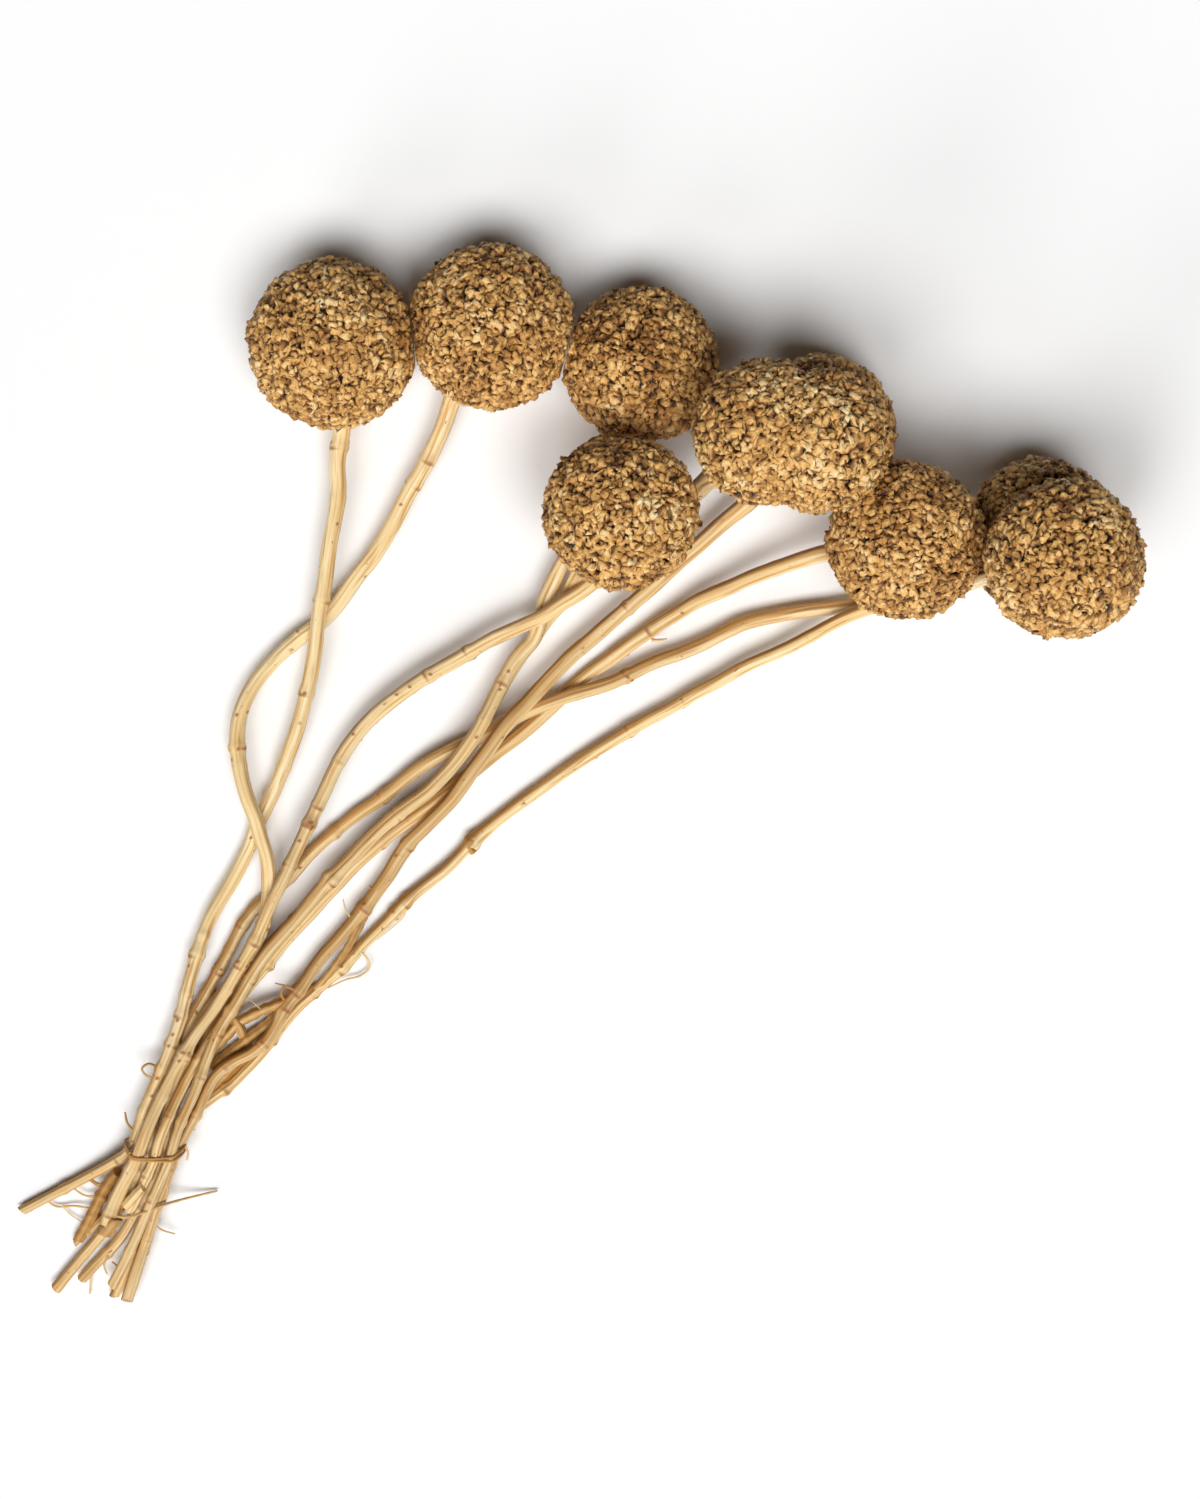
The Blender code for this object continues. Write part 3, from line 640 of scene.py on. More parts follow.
# Tint of each head; c and g are darker partly as painted shade, where neighbouring heads shade them
HEAD_TINT_AND_SHADE = {"b": -0.06, "c": -0.2, "d": -0.03, "e": 0.08, "g": -0.15, "h": 0.08}
GOLDEN_ANGLE = math.pi * (3 - math.sqrt(5))


def anywhere(draw):
    """A drawn vector that points any way."""
    return np.array([draw.uniform(-1, 1) for _ in range(3)])


def head_piece(key, seed):
    draw = random.Random("florets " + key)
    balls = balls_of(key)
    core = sum(centre for centre, _ in balls) / len(balls)
    mean_radius = sum(radius for _, radius in balls) / len(balls)
    _, _, way = stem_way(key)
    planes = pressed_planes(key)

    skin = 4 * math.pi * mean_radius**2
    skin += 2 * math.pi * mean_radius * np.linalg.norm(balls[-1][0] - balls[0][0])
    count = round(skin / (FLORET_PITCH**2 * math.sqrt(3) / 2))
    side = unit(np.cross(way, (0.3, 0.2, 1.0)))
    other = np.cross(way, side)

    parts = []
    for index in range(count):
        height = 1 - (2 * index + 1) / count
        ring = math.sqrt(1 - height * height)
        angle = index * GOLDEN_ANGLE
        direction = -way * height + (side * math.cos(angle) + other * math.sin(angle)) * ring
        stray = anywhere(draw) * FLORET_STRAY / math.sqrt(count)
        spot, facing = surface_spot(unit(direction + stray), core, balls)
        lean = anywhere(draw) * FLORET_LEAN
        up = unit(facing + lean)
        first = unit(np.cross(up, (math.sin(index), math.cos(index), 0.4)))
        second = np.cross(up, first)
        kind_corners, kind_faces = draw.choice(FLORET_KINDS)
        size = draw.uniform(*FLORET_SIZES)
        local = kind_corners * (size, size, 1)
        lift = draw.uniform(*FLORET_LIFTS) * MM
        moved = spot + np.outer(local[:, 0], first) + np.outer(local[:, 1], second)
        moved += np.outer(local[:, 2] + lift, up)
        lip_share = np.clip(1 + local[:, 2] / LIP_REACH, 0, 1)
        parts.append((moved, kind_faces, lip_share, draw.random() + HEAD_TINT_AND_SHADE.get(key, 0)))

    core_points = []
    for direction in CORE_CORNERS:
        spot, _ = surface_spot(unit(direction), core, balls)
        core_points.append(spot - unit(direction) * CORE_DEPTH)
    # The core has lip 0, so it takes the nearly black painted shade of the throats
    parts.append((np.array(core_points), CORE_FACES, np.zeros(len(core_points)), 0.0))

    faces = []
    total = 0
    for points, part_faces, _, _ in parts:
        faces.extend(tuple(corner + total for corner in face) for face in part_faces)
        total += len(points)
    points = press(warp(np.concatenate([part[0] for part in parts]), seed), planes)
    piece = add_piece("floret_head_" + key, points, faces, florets.material)
    carry(piece.data, "lip", np.concatenate([part[2] for part in parts]))
    carry(piece.data, "tint", np.concatenate([np.full(len(part[0]), part[3]) for part in parts]))
    piece.data.shade_smooth()
    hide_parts("head_" + key)
    print(piece.name, count, "florets,", len(faces), "faces")


for seed, key in enumerate(HEADS):
    head_piece(key, seed)

# %% [markdown]
# ## Rolling a tube
# Stems, shoots and fibres are all long and round, so one helper makes them. It starts from a flat grid
# of faces and rolls it round a line, as a sheet of paper rolls round a string. The two edges are then
# merged and the ends filled. A rolled grid is handy because every point knows how far along and how
# far round it is, which gives the ribs their shape, the finish its grain, and each ring or dot its
# place. The line comes first: a smooth curve, with two directions across it at every point.


# %% Line helpers
def lengths_along(path):
    """How far along the path each of its points is."""
    return np.concatenate(([0.0], np.cumsum(np.linalg.norm(np.diff(path, axis=0), axis=1))))


def smooth_path(points, step):
    """Points a step apart on a smooth curve through the given points."""
    points = np.array(points, dtype=float)
    chord = lengths_along(points)
    slopes = np.gradient(points, chord, axis=0)
    at = np.linspace(0, chord[-1], max(round(chord[-1] / step), 2) + 1)
    index = np.clip(np.searchsorted(chord, at, side="right") - 1, 0, len(points) - 2)
    span = (chord[index + 1] - chord[index])[:, None]
    share = (at - chord[index])[:, None] / span
    rest = 1 - share
    from_here = (points[index] * (1 + 2 * share) + slopes[index] * span * share) * rest**2
    from_next = (points[index + 1] * (1 + 2 * rest) - slopes[index + 1] * span * rest) * share**2
    return from_here + from_next


def sides_of(path):
    """Two directions across the path at each point, carried along it without twisting."""
    run = np.gradient(path, axis=0)
    run /= np.linalg.norm(run, axis=1)[:, None]
    first = [unit(np.cross(run[0], (0.0, 0.0, 1.0) if abs(run[0][2]) < 0.9 else (1.0, 0.0, 0.0)))]
    for ahead in run[1:]:
        first.append(unit(first[-1] - ahead * (first[-1] @ ahead)))
    first = np.array(first)
    return first, np.cross(run, first)


print("points on a small bend:", len(smooth_path([(0, 0, 0), (1, 0, 0), (1, 1, 0)], 0.1)))

# %% [markdown]
# The ribs are a sum of waves round the tube that drift along it, and smooth noise adds lumps. Both cut
# in more than they stand out, so the straw stays about as thick as the model's stem. The side away from
# the lights is painted browner as shade, the side facing them a little paler as painted light, and no
# point sinks into the table.

# %% Tube helper
RIB_STRAY = 14 * MM
LUMP_LENGTH = 7 * MM
LUMP_SHARE = 0.08
CUT_SLANT = 0.4
MARK_EDGE = 0.6 * MM
# Heights of the ribs, of broad ribs between them and of ribs that come and go
RIB_WAVES = (0.5, 0.3, 0.6)
RIB_SINK = 0.6
LUMP_SINK = 0.3
TUBE_SIZE = 1.02
RING_EVEN = 0.65
RING_UNEVEN = 0.35
LINE_PLACE = 0.6
# Painted shade round a tube: how steeply it browns towards the side away from the lights, and its offset,
# which also sets how much paler the lit side is painted
SHADE_SLOPE = 2
SHADE_START = 0.3
LOWEST = 0.05 * MM
MERGE_EDGES = 0.004 * MM
SHARP_FROM = math.radians(60)


def add_marks(marks, along, around, radii, draw):
    """How much rings and dots raise each point, and how dark they are there."""
    raised = np.zeros(len(along))
    scar = np.zeros(len(along))
    for at, angle, height, half_length, half_width, dark in marks:
        off = along - at
        if angle is None:
            uneven = RING_EVEN + RING_UNEVEN * np.cos(around * 2 + draw.uniform(0, 6))
            raised += height * np.exp(-((off / half_length) ** 2)) * uneven
            line = np.exp(-(((off - half_length * LINE_PLACE) / MARK_EDGE) ** 2))
            scar = np.maximum(scar, dark * line * uneven)
        else:
            apart = (around - angle + math.pi) % math.tau - math.pi
            near = np.exp(-((off / half_length) ** 2) - (apart * radii / half_width) ** 2)
            raised += height * near
            scar = np.maximum(scar, dark * near)
    return raised, scar


def roll_tube(name, path, radii, sides, ribs, rib_depth, seed, tones, marks=(), far_shade=0.2):
    """A closed ribbed tube round the path. It carries the numbers that the finish reads."""
    draw = random.Random(name)
    rows = len(path)
    start_fresh()
    bpy.ops.mesh.primitive_grid_add(x_subdivisions=sides, y_subdivisions=rows - 1, size=1)
    piece = bpy.context.object
    piece.name = name
    flat = np.empty(len(piece.data.vertices) * 3)
    piece.data.vertices.foreach_get("co", flat)
    flat = flat.reshape(-1, 3)
    row = np.round((flat[:, 1] + 0.5) * (rows - 1)).astype(int)
    around = (flat[:, 0] + 0.5) * 2 * math.pi
    lengths = lengths_along(path)
    along = lengths[row]

    first, second = sides_of(path)
    stray = np.array([noise.noise(Vector((length / RIB_STRAY, seed * 9.1, 0))) for length in lengths])[row]
    waves = RIB_WAVES[0] * np.cos(ribs * around + 2 * stray)
    waves += RIB_WAVES[1] * np.cos((ribs // 2 + 1) * around + seed)
    waves += RIB_WAVES[2] * stray * np.cos((ribs + 3) * around)
    spots = zip(np.cos(around), np.sin(around), along / LUMP_LENGTH + seed * 10)
    lumps = np.array([noise.noise(Vector(spot)) for spot in spots])
    raised, scar = add_marks(marks, along, around, radii[row], draw)
    relief = rib_depth * (waves - RIB_SINK) + LUMP_SHARE * (lumps - LUMP_SINK)
    reach = radii[row] * (TUBE_SIZE + relief) + raised
    across = reach * np.cos(around)
    over = reach * np.sin(around)
    points = path[row] + first[row] * across[:, None] + second[row] * over[:, None]
    slant = np.where(row == rows - 1, radii[row] * CUT_SLANT * np.cos(around + seed), 0)
    points += slant[:, None] * unit(path[-1] - path[-2])
    points[:, 2] = np.maximum(points[:, 2], LOWEST)
    piece.data.vertices.foreach_set("co", points.ravel())

    # Painted shade and light: each tube is browner on the side away from the lights and a little paler on
    # the side facing them
    away = (first[row] * np.cos(around)[:, None] + second[row] * np.sin(around)[:, None]) @ -down_view
    tones = np.broadcast_to(tones, rows)[row]
    tones = tones + far_shade * np.clip(away * SHADE_SLOPE - SHADE_START, -SHADE_START, 1)
    carry(piece.data, "groove", np.clip(-waves, 0, 1))
    carry(piece.data, "scar", scar)
    carry(piece.data, "tone", tones)
    grain = (np.cos(around) * radii[row], np.sin(around) * radii[row], along + seed)
    carry(piece.data, "grain", np.stack(grain, axis=1), "FLOAT_VECTOR", "vector")

    bpy.ops.object.mode_set(mode="EDIT")
    bpy.ops.mesh.select_all(action="SELECT")
    bpy.ops.mesh.remove_doubles(threshold=MERGE_EDGES)
    bpy.ops.mesh.fill_holes(sides=0)
    bpy.ops.mesh.select_all(action="SELECT")
    bpy.ops.mesh.normals_make_consistent(inside=False)
    bpy.ops.object.mode_set(mode="OBJECT")
    bpy.ops.object.shade_smooth_by_angle(angle=SHARP_FROM)
    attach(piece, "root")
    return piece


# %% [markdown]
# ## The stems
# The model's stems are six-sided tubes. Their rings of six corners are read one after the other from
# the head down: the middle of each ring is a point of the stem's line, and its size is the stem's
# thickness, knots included. A smooth curve through those points carries the ribbed straw.

# %% Read the stem lines
RING_CORNERS = 6
MERGE_REACH = 0.01 * MM


def stem_line(key):
    """The middle and the radius of each ring of a stem, from its head down."""
    middle, _, _ = stem_way(key)
    shape = bmesh.new()
    shape.from_mesh(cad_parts["stem_" + key].data)
    bmesh.ops.remove_doubles(shape, verts=shape.verts, dist=MERGE_REACH)
    by_distance = sorted(shape.verts, key=lambda corner: (corner.co - Vector(middle)).length)
    ring = set(by_distance[:RING_CORNERS])
    seen_corners = set(ring)
    line = []
    while ring:
        corners = np.array([corner.co for corner in ring])
        centre = corners.mean(axis=0)
        line.append((centre, np.linalg.norm(corners - centre, axis=1).mean()))
        ring = {edge.other_vert(corner) for corner in ring for edge in corner.link_edges} - seen_corners
        seen_corners |= ring
    shape.free()
    return line


STEM_LINES = {key: stem_line(key) for key in HEADS}
print("rings read:", {key: len(line) for key, line in STEM_LINES.items()})

# %% [markdown]
# Leaves once stood on the stems. Each left a ring: a slight swelling, a thin dark line and a dot or two
# where its veins went in. The clearest rings and dots are listed one by one. More are drawn by a seeded
# rule, closer together in the lower half, where leaves grow closer. The stems are pale under the heads
# and browner towards the tie, and some are brown all the way. Every stem is also painted browner down
# the side away from the lights, most of all g, h and i: that is painted shade.

# %% Rings, dots and tones
# Where rings show in the view, on the stem with this letter
RINGS = {
    "a": [(339, 446), (319, 598), (304, 692), (197, 955), (182, 1015), (172, 1044)],
    "b": [(422, 455), (413, 482), (240, 748), (264, 925), (248, 958)],
    "c": [(503, 684), (398, 813), (328, 878), (246, 976), (216, 1032)],
    "d": [(150, 1160), (91, 1229)],
    "e": [(471, 654), (428, 676), (315, 804), (311, 826), (257, 942), (244, 967), (183, 1056), (111, 1215)],
    "f": [(626, 606), (404, 843), (366, 907), (297, 993), (284, 1006), (262, 1045)],
    "g": [(652, 630), (380, 842), (266, 965), (198, 1060)],
    "h": [(630, 731), (474, 842), (405, 903), (341, 970), (228, 1088)],
    "i": [(626, 677), (385, 797), (243, 924), (219, 972), (104, 1232)],
}
# Where dark dots show: (x, y, how far they stand out in mm)
DOTS = {
    "a": [
        (338, 525, 0.05), (341, 529, 0.1), (332, 442, 0.15), (349, 443, 0.15), (306, 692, 0.05),
        (252, 836, 0.1), (189, 966, 0.1), (178, 1020, 0.1), (173, 1035, 0.1), (169, 1046, 0.1),
        (158, 1078, 0.35), (152, 1096, 0.35), (145, 1120, 0.3),
    ],
    "b": [
        (297, 633, 0.5), (366, 577, 0.1), (232, 759, 0.2), (239, 749, 0.1), (246, 749, 0.15),
        (248, 713, 0.1), (247, 724, 0.1), (401, 505, 0.1), (237, 717, 0.15),
    ],
    "c": [(333, 887, 0.25), (508, 672, 0.05), (500, 690, 0.05), (476, 738, 0.1)],
    "e": [
        (397, 695, 0.5), (410, 687, 0.4), (418, 697, 0.15), (380, 726, 0.15), (366, 742, 0.15),
        (353, 735, 0.3), (311, 823, 0.1), (311, 828, 0.1), (300, 841, 0.25), (477, 661, 0.15),
        (430, 675, 0.2), (240, 960, 0.15), (247, 966, 0.15), (184, 1052, 0.3), (180, 1060, 0.3),
    ],
    "f": [(626, 604, 0.1), (403, 841, 0.3), (397, 854, 0.2), (365, 903, 0.3), (263, 1042, 0.3)],
    "g": [(629, 658, 0.3), (684, 612, 0.1), (262, 968, 0.2)],
    "h": [(683, 709, 0.2), (599, 760, 0.2), (470, 845, 0.4), (476, 851, 0.4), (342, 966, 0.4)],
    "i": [(626, 678, 0.05), (633, 680, 0.05), (490, 765, 0.25), (300, 868, 0.1), (216, 964, 0.25)],
}
# Tone under the head, half way, at the tie and at the cut end
TONES = {
    "a": (0.0, 0.0, 0.35, 0.5),
    "b": (0.0, 0.1, 0.45, 0.5),
    "c": (0.15, 0.45, 0.55, 0.45),
    "d": (0.4, 0.5, 0.7, 0.7),
    "e": (0.15, 0.25, 0.45, 0.5),
    "f": (0.35, 0.7, 0.75, 0.6),
    "g": (0.5, 0.6, 0.45, 0.3),
    "h": (0.35, 0.35, 0.65, 0.55),
    "i": (0.6, 0.6, 0.6, 0.5),
}
TONE_STOPS = (0.0, 0.45, 0.8, 1.0)
# How much painted shade browns a stem on its far side, away from the lights
FAR_SIDE_SHADE = {"a": 0.25, "b": 0.35, "c": 0.4, "d": 0.5, "e": 0.5, "f": 0.6, "g": 0.9, "h": 1.2, "i": 0.9}
print("placed by hand:", sum(map(len, RINGS.values())), "rings,", sum(map(len, DOTS.values())), "dots")

# %% [markdown]
# A mark is where it lies along the stem, its angle round it, its height, its half length, its half
# width and how dark it is. A ring goes all the way round, so it has no angle.

# %% Rules for rings and dots
RING_HEIGHT = 0.36 * MM
RING_HALF = 0.85 * MM
RING_DARK = 0.8
FIRST_RING = (8, 20)
LAST_RING = 4 * MM
# In the upper and the lower half: mm from ring to ring, share of the full height, and darkest tone
UPPER_RINGS = ((28.0, 60.0), (0.2, 0.5), 0.45)
LOWER_RINGS = ((9.0, 18.0), (0.6, 1.3), RING_DARK)
RING_DOT_HEIGHT = 0.15 * MM
RING_DOT_SIZES = (0.3, 0.55)
DOTS_A_METRE = 130
DOT_HEIGHT = 0.04 * MM
DOT_SIZES = (0.2, 0.4)
DOT_LENGTH = 1.4
PLACED_DOT = (0.5 * MM, 0.42 * MM)


def drawn_marks(total, draw):
    """Rings and dots that nobody placed by hand."""
    marks = []
    at = draw.uniform(*FIRST_RING) * MM
    while at < total - LAST_RING:
        step, swell, darkest = LOWER_RINGS if at > total / 2 else UPPER_RINGS
        height = RING_HEIGHT * draw.uniform(*swell)
        marks.append((at, None, height, RING_HALF, 0, draw.uniform(0.2, darkest)))
        angle = draw.uniform(0, math.tau)
        size = draw.uniform(*RING_DOT_SIZES) * MM
        marks.append((at, angle, RING_DOT_HEIGHT, size, size, draw.uniform(0.5, 1)))
        at += draw.uniform(*step) * MM
    for _ in range(round(total * DOTS_A_METRE)):
        size = draw.uniform(*DOT_SIZES) * MM
        angle = draw.uniform(0, math.tau)
        at = draw.uniform(0, total)
        marks.append((at, angle, DOT_HEIGHT, size * DOT_LENGTH, size, draw.uniform(0.3, 0.9)))
    return marks


def placed_marks(key, path, radii):
    """The rings and dots of RINGS and DOTS, found on the stem's path."""
    lengths = lengths_along(path)
    first, second = sides_of(path)
    spots = [(x, y, None) for x, y in RINGS[key]] + DOTS.get(key, [])
    marks = []
    for x, y, height in spots:
        off = np.array([place(x, y, point[2]) - point for point in path])
        nearest = int(np.argmin(np.linalg.norm(off, axis=1)))
        if height is None:
            marks.append((lengths[nearest], None, RING_HEIGHT, RING_HALF, 0, RING_DARK))
            continue
        out = off[nearest]
        radius = radii[nearest]
        out = out * min(1, radius / max(np.linalg.norm(out), MERGE_REACH))
        out[2] = math.sqrt(max(radius**2 - out @ out, 0))
        angle = math.atan2(out @ second[nearest], out @ first[nearest])
        marks.append((lengths[nearest], angle, height * MM, *PLACED_DOT, 1.0))
    return marks


print("marks drawn on a stem of 0.2 m:", len(drawn_marks(0.2, random.Random(0))))

# %% [markdown]
# The top of a stem is sunk into its head. The bottom was cut: the last face is inset for the woody rim
# and pushed in for the pith, which has dried back.

# %% Stem pieces
STEM_POINT_STEP = 0.65 * MM
STEM_SIDES = 24
STEM_RIBS = 7
RIB_DEPTH = 0.08
STEM_WANDER = 0.22 * MM
WANDER_LENGTH = 9 * MM
SUNK_IN_HEAD = 2.0 * MM
RIM_SHARE = 0.3
PITH_DEPTH = 0.4 * MM


def hollow_cut_end(piece, end, radius, inward):
    """Insets the end face and pushes the pith in."""
    bpy.context.view_layer.objects.active = piece
    bpy.ops.object.mode_set(mode="EDIT")
    bpy.ops.mesh.select_mode(type="FACE")
    shape = bmesh.from_edit_mesh(piece.data)
    wide = [face for face in shape.faces if len(face.verts) > 4]
    last = min(wide, key=lambda face: (face.calc_center_median() - Vector(end)).length)
    for face in shape.faces:
        face.select_set(face == last)
    last.material_index = 1
    bmesh.update_edit_mesh(piece.data)
    bpy.ops.mesh.inset(thickness=radius * RIM_SHARE)
    bpy.ops.mesh.extrude_region_move(TRANSFORM_OT_translate={"value": tuple(inward * PITH_DEPTH)})
    bpy.ops.object.mode_set(mode="OBJECT")


def stem_piece(key, seed):
    draw = random.Random("stem " + key)
    line = STEM_LINES[key]
    _, _, way = stem_way(key)
    middles = [line[0][0] - way * SUNK_IN_HEAD] + [middle for middle, _ in line]
    ring_radii = [line[0][1]] + [radius for _, radius in line]
    path = smooth_path(middles, STEM_POINT_STEP)
    at = np.linspace(0, 1, len(path))
    ring_at = lengths_along(np.array(middles))
    radii = np.interp(at * ring_at[-1], ring_at, ring_radii)
    lengths = lengths_along(path)
    wander = [noise.noise_vector(Vector((length / WANDER_LENGTH, seed * 5.3, 1))) for length in lengths]
    path = path + np.array(wander) * STEM_WANDER * np.minimum(1, lengths / WANDER_LENGTH)[:, None]

    marks = placed_marks(key, path, radii) + drawn_marks(lengths[-1], draw)
    tones = np.interp(at, TONE_STOPS, TONES[key])
    name = "straw_stem_" + key
    shape = (STEM_SIDES, STEM_RIBS, RIB_DEPTH)
    piece = roll_tube(name, path, radii, *shape, seed, tones, marks, FAR_SIDE_SHADE[key])
    piece.data.materials.append(straw_material)
    piece.data.materials.append(cut.material)
    hollow_cut_end(piece, path[-1], radii[-1], unit(path[-2] - path[-1]))
    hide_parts("stem_" + key)
    print(piece.name, round(lengths[-1] / MM), "mm,", len(marks), "marks")


for seed, key in enumerate(HEADS):
    stem_piece(key, seed)

# %% [markdown]
# ## The tie
# The stems are held by two thin strands of plant fibre that run round the bundle side by side. The
# model's tie gives the plane. In that plane every stem is a circle, and the strand follows whichever
# circle reaches furthest in each direction, as a string pulled tight would. The two strands wander a
# little, so that they part and meet again.

# %% Tie
STRAND_RADIUS = 0.33 * MM
STRAND_SEAT = 0.8
STRAND_SPREAD = 0.4 * MM
STRAND_PARTING = 0.6
STRAND_DRIFT = 0.2 * MM
STRAND_SWELL = 0.15
# Sides, ribs and depth of the ribs
STRAND_SHAPE = (10, 3, 0.1)
STRAND_SEED = 20
STRAND_TONE = 0.1
TIE_POINT_STEP = 0.5 * MM
LOOK_STEPS = 120
POINT_APART = 0.25 * MM


def tight_loop(node):
    """The axis of the tie's plane, and the points of the tightest loop there round all stems."""
    corners = np.array([vert.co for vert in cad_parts[node].data.vertices])
    middle = corners.mean(axis=0)
    _, _, (across, over, axis) = np.linalg.svd(corners - middle, full_matrices=False)
    circles = []
    for line in STEM_LINES.values():
        centres = np.array([centre for centre, _ in line])
        heights = (centres - middle) @ axis
        for index in np.nonzero(heights[:-1] * heights[1:] < 0)[0]:
            share = heights[index] / (heights[index] - heights[index + 1])
            spot = centres[index] * (1 - share) + centres[index + 1] * share - middle
            radius = line[index][1] * (1 - share) + line[index + 1][1] * share
            circles.append((spot @ across, spot @ over, radius + STRAND_RADIUS * STRAND_SEAT))
    edge = []
    for turn in np.linspace(0, math.tau, LOOK_STEPS, endpoint=False):
        x, y, radius = max(circles, key=lambda c: c[0] * math.cos(turn) + c[1] * math.sin(turn) + c[2])
        point = np.array((x + radius * math.cos(turn), y + radius * math.sin(turn)))
        if all(np.linalg.norm(point - kept) > POINT_APART for kept in edge):
            edge.append(point)
    return axis, [middle + across * x + over * y for x, y in edge]


tie_axis, tie_edge = tight_loop("tie")
closed_edge = smooth_path(tie_edge + tie_edge[:2], TIE_POINT_STEP)
turns = np.linspace(0, math.tau, len(closed_edge))
for strand, side in enumerate((-1, 1)):
    shift = side * STRAND_SPREAD * (1 + STRAND_PARTING * np.sin(turns * 2 + strand))
    shift = shift + STRAND_DRIFT * np.sin(turns)
    strand_path = closed_edge + shift[:, None] * tie_axis
    radii = STRAND_RADIUS * (1 + STRAND_SWELL * np.sin(turns * 5 + strand))
    name = f"tie_strand_{strand + 1}"
    tie_strand = roll_tube(name, strand_path, radii, *STRAND_SHAPE, STRAND_SEED + strand, STRAND_TONE)
    tie_strand.data.materials.append(fibre_material)
    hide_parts("tie")
print("tie loop:", round(lengths_along(closed_edge)[-1] / MM), "mm")

# %% [markdown]
# ## Shoots, threads and spikes
# A few thin things grow from the stems: side branches, a forked shoot, short stubs and knots, buds, and
# dry threads round the cut ends. Each is a short route in the view with a height at every point, chosen
# so that it starts on the stem that carries it.

# %% Shoots and threads
# Each: the radius at its start and at its end in mm, its tone, and its route as (x, y, height mm)
SHOOTS = {
    "side_branch": (1.25, 1.1, 0.85, [
        (292, 998, 4.4), (278, 1004, 4.9), (265, 1009, 5.2), (252, 1015, 5.4), (240, 1022, 5.4),
        (229, 1033, 5.0), (217, 1046, 4.8), (204, 1057, 4.4),
    ]),
    "branch_knuckle": (1.35, 1.0, 0.8, [(235, 1019, 5.2), (240, 1027, 5.4), (243, 1036, 4.6)]),
    "back_branch": (1.3, 1.2, 1.1, [
        (283, 1012, 2.6), (266, 1026, 2.2), (248, 1039, 2.0), (230, 1053, 2.0), (212, 1068, 2.2),
    ]),
    "low_branch": (1.2, 1.1, 1.1, [
        (252, 1052, 1.6), (236, 1066, 1.6), (221, 1081, 1.6), (206, 1096, 1.8),
    ]),
    "forked_shoot": (0.95, 0.8, 0.85, [
        (367, 908, 4.2), (360, 924, 4.3), (352, 940, 4.0), (338, 962, 3.6), (326, 978, 3.0),
        (316, 989, 2.4),
    ]),
    "stub_by_tie": (1.15, 1.1, 0.2, [(126, 1206, 7.6), (134, 1197, 8.9), (143, 1187, 9.4)]),
    "dotted_stub": (1.25, 1.3, 1.0, [
        (78, 1240, 1.6), (88, 1222, 2.4), (98, 1203, 3.2), (107, 1186, 4.0), (118, 1172, 4.8),
    ]),
    "end_knot": (1.7, 1.5, 0.8, [(106, 1232, 6.4), (111, 1225, 7.6), (116, 1218, 7.6)]),
    "hooked_bud": (0.7, 0.45, 1.0, [
        (335, 885, 7.4), (328, 882, 8.2), (324, 876, 8.6), (328, 872, 8.6), (334, 873, 8.2),
    ]),
    "low_bud": (0.75, 0.5, 0.9, [(473, 852, 2.8), (469, 846, 3.9), (472, 841, 4.2)]),
    "short_twig": (0.4, 0.18, 0.5, [(652, 640, 3.9), (660, 640, 4.6), (667, 639, 5.0)]),
}
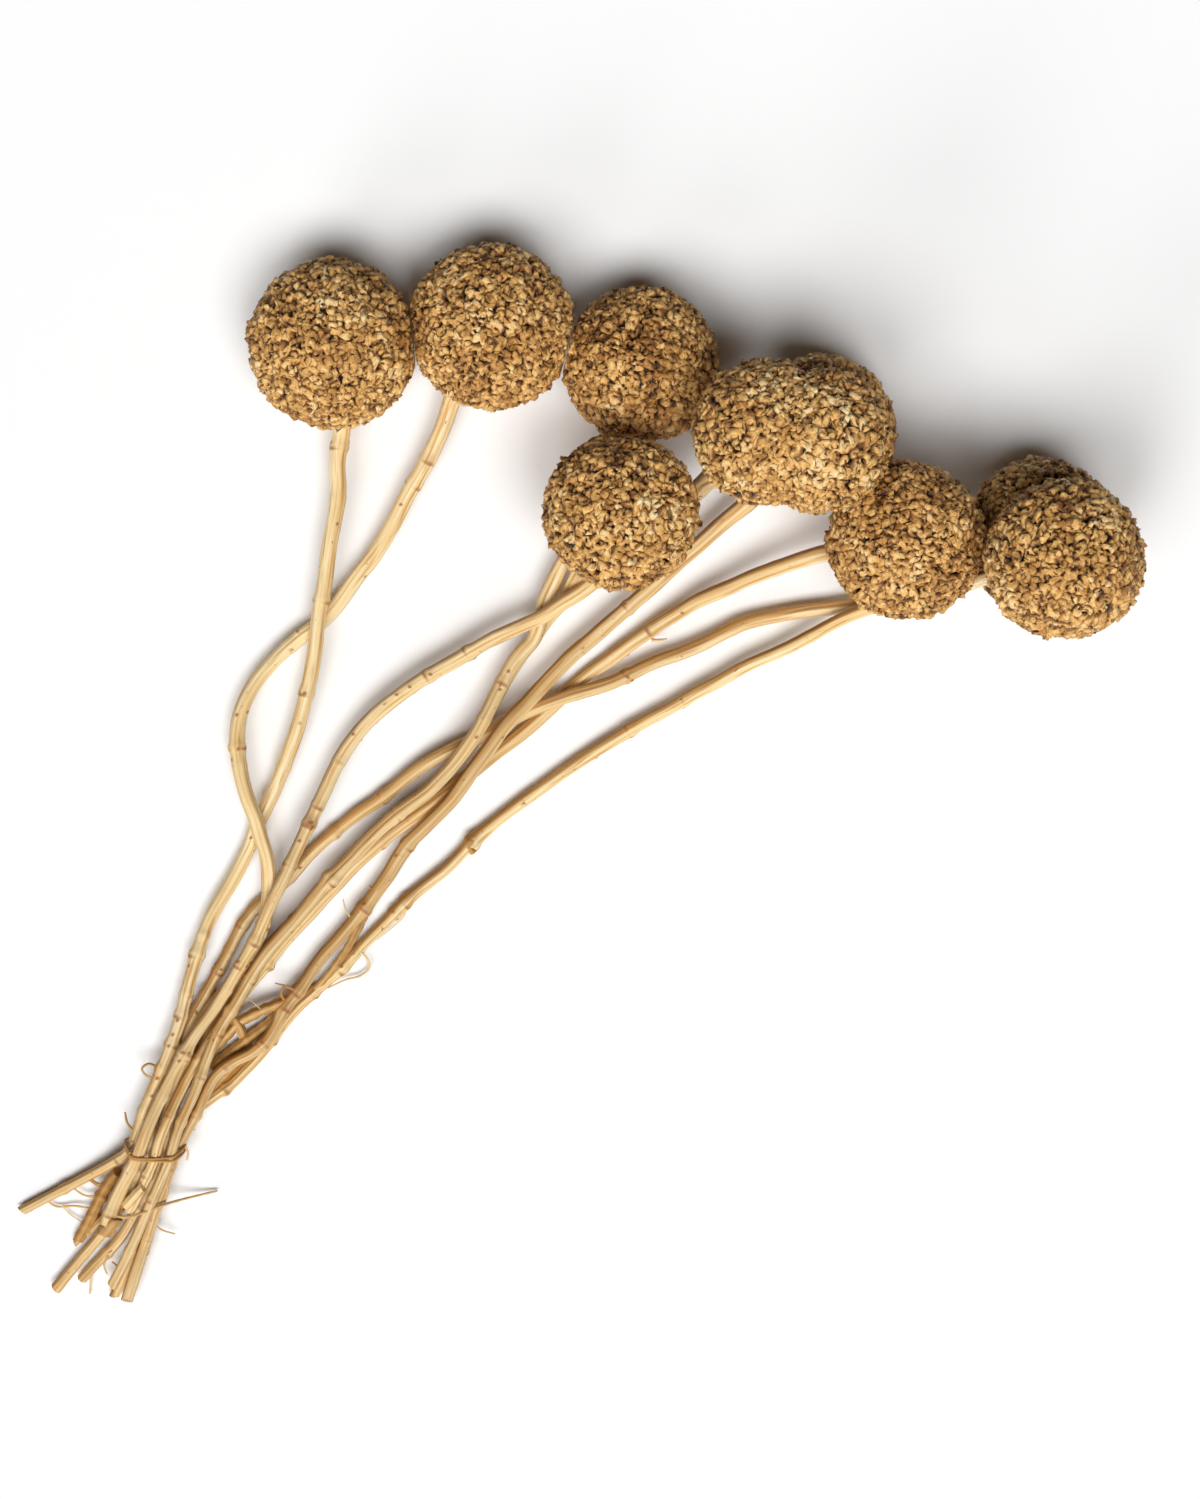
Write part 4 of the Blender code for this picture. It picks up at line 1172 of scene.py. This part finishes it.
THREADS = {
    "long_thread": (0.38, 0.26, 0.6, [
        (114, 1216, 7.9), (128, 1217, 8.2), (142, 1213, 7.9), (160, 1206, 7.0), (180, 1200, 4.4),
        (200, 1195, 2.2), (217, 1191, 1.0),
    ]),
    "low_thread": (0.32, 0.16, 0.5, [(148, 1220, 5.2), (162, 1230, 3.6), (175, 1234, 1.8)]),
    "hooked_thread": (0.26, 0.16, 0.5, [(164, 1178, 6.1), (168, 1190, 5.6), (165, 1203, 5.0)]),
    "end_thread": (0.28, 0.15, 0.4, [(143, 1241, 4.8), (149, 1252, 4.4), (142, 1261, 4.4)]),
    "left_thread": (0.26, 0.24, 0.4, [
        (45, 1199, 2.0), (55, 1206, 1.4), (75, 1206, 1.8), (98, 1210, 2.6),
    ]),
    "left_branchlet": (0.22, 0.15, 0.3, [(62, 1206, 1.5), (70, 1214, 1.2), (82, 1222, 1.4)]),
    "upper_left_thread": (0.24, 0.22, 0.6, [(73, 1188, 2.4), (84, 1195, 2.2), (100, 1197, 2.8)]),
    "brown_stub": (0.5, 0.35, 0.9, [(90, 1179, 3.0), (97, 1184, 3.2), (107, 1184, 3.8)]),
    "tie_end": (0.38, 0.22, 0.7, [(135, 1134, 6.4), (127, 1122, 6.0), (125, 1112, 5.4)]),
    "curl": (0.34, 0.22, 0.7, [
        (158, 1068, 6.0), (148, 1064, 6.4), (142, 1069, 6.2), (147, 1076, 5.8), (156, 1077, 5.4),
    ]),
    "end_fibre": (0.3, 0.18, 0.4, [(100, 1260, 2.8), (92, 1275, 1.4), (90, 1294, 0.8)]),
    "loose_loop": (0.3, 0.22, 0.3, [
        (359, 951, 2.8), (367, 959, 2.4), (369, 968, 2.0), (362, 975, 1.8), (345, 980, 2.0),
        (328, 988, 2.6),
    ]),
    "hair": (0.18, 0.12, 0.3, [(408, 903, 3.0), (404, 916, 2.0), (392, 928, 1.4), (377, 940, 1.2)]),
    "spike": (0.36, 0.16, 1.0, [(300, 993, 5.3), (288, 987, 6.2), (275, 983, 6.4)]),
    "ring_nub": (0.4, 0.25, 1.0, [(285, 1001, 5.4), (281, 993, 6.2), (284, 987, 6.4)]),
    "branch_fibre": (0.24, 0.14, 0.4, [(263, 1011, 6.0), (254, 1003, 6.4), (246, 996, 6.4)]),
    "small_fibre": (0.22, 0.12, 0.2, [(350, 917, 5.0), (345, 908, 5.6), (343, 899, 5.8)]),
    "knot_spur": (0.4, 0.2, 0.9, [(374, 891, 4.4), (369, 886, 5.2)]),
    "tie_tail": (0.3, 0.18, 0.6, [(185, 1146, 7.0), (188, 1152, 6.6), (187, 1160, 6.0)]),
    "edge_tick": (0.26, 0.14, 0.7, [(186, 1126, 6.6), (195, 1130, 6.4)]),
    "left_spike": (0.34, 0.18, 0.8, [(148, 1098, 6.4), (142, 1099, 6.6)]),
    "end_splinter": (0.3, 0.16, 0.4, [(108, 1256, 3.4), (104, 1266, 2.6), (107, 1274, 2.0)]),
    "end_curl": (0.26, 0.15, 0.4, [(112, 1262, 3.0), (118, 1268, 3.4), (114, 1275, 3.0)]),
}
SHOOT_SIDES = 14
THREAD_SIDES = 7
SHOOT_SEED = 30
THREAD_SEED = 40
# Number and depth of the ribs
SHOOT_RIBS = (4, 0.06)
SHOOT_POINT_STEP = 0.5 * MM
SHOOT_SWELL = 0.08
SWELL_TURN = 1.3


def add_shoot(name, thick, thin, tone, route, sides, seed):
    """One thin piece of straw. A shoot has rings and dots, and a thread is too thin for them."""
    path = smooth_path([place(x, y, height * MM) for x, y, height in route], SHOOT_POINT_STEP)
    radii = np.linspace(thick, thin, len(path)) * MM
    radii *= 1 + SHOOT_SWELL * np.sin(np.arange(len(path)) * SWELL_TURN + seed)
    marks = ()
    if sides == SHOOT_SIDES:
        marks = drawn_marks(lengths_along(path)[-1], random.Random(name))
    piece = roll_tube(name, path, radii, sides, *SHOOT_RIBS, seed, tone, marks)
    piece.data.materials.append(straw_material)


for seed, (name, shoot) in enumerate(SHOOTS.items()):
    add_shoot(name, *shoot, SHOOT_SIDES, SHOOT_SEED + seed)
for seed, (name, thread) in enumerate(THREADS.items()):
    add_shoot(name, *thread, THREAD_SIDES, THREAD_SEED + seed)
print("shoots and threads:", len(SHOOTS) + len(THREADS))
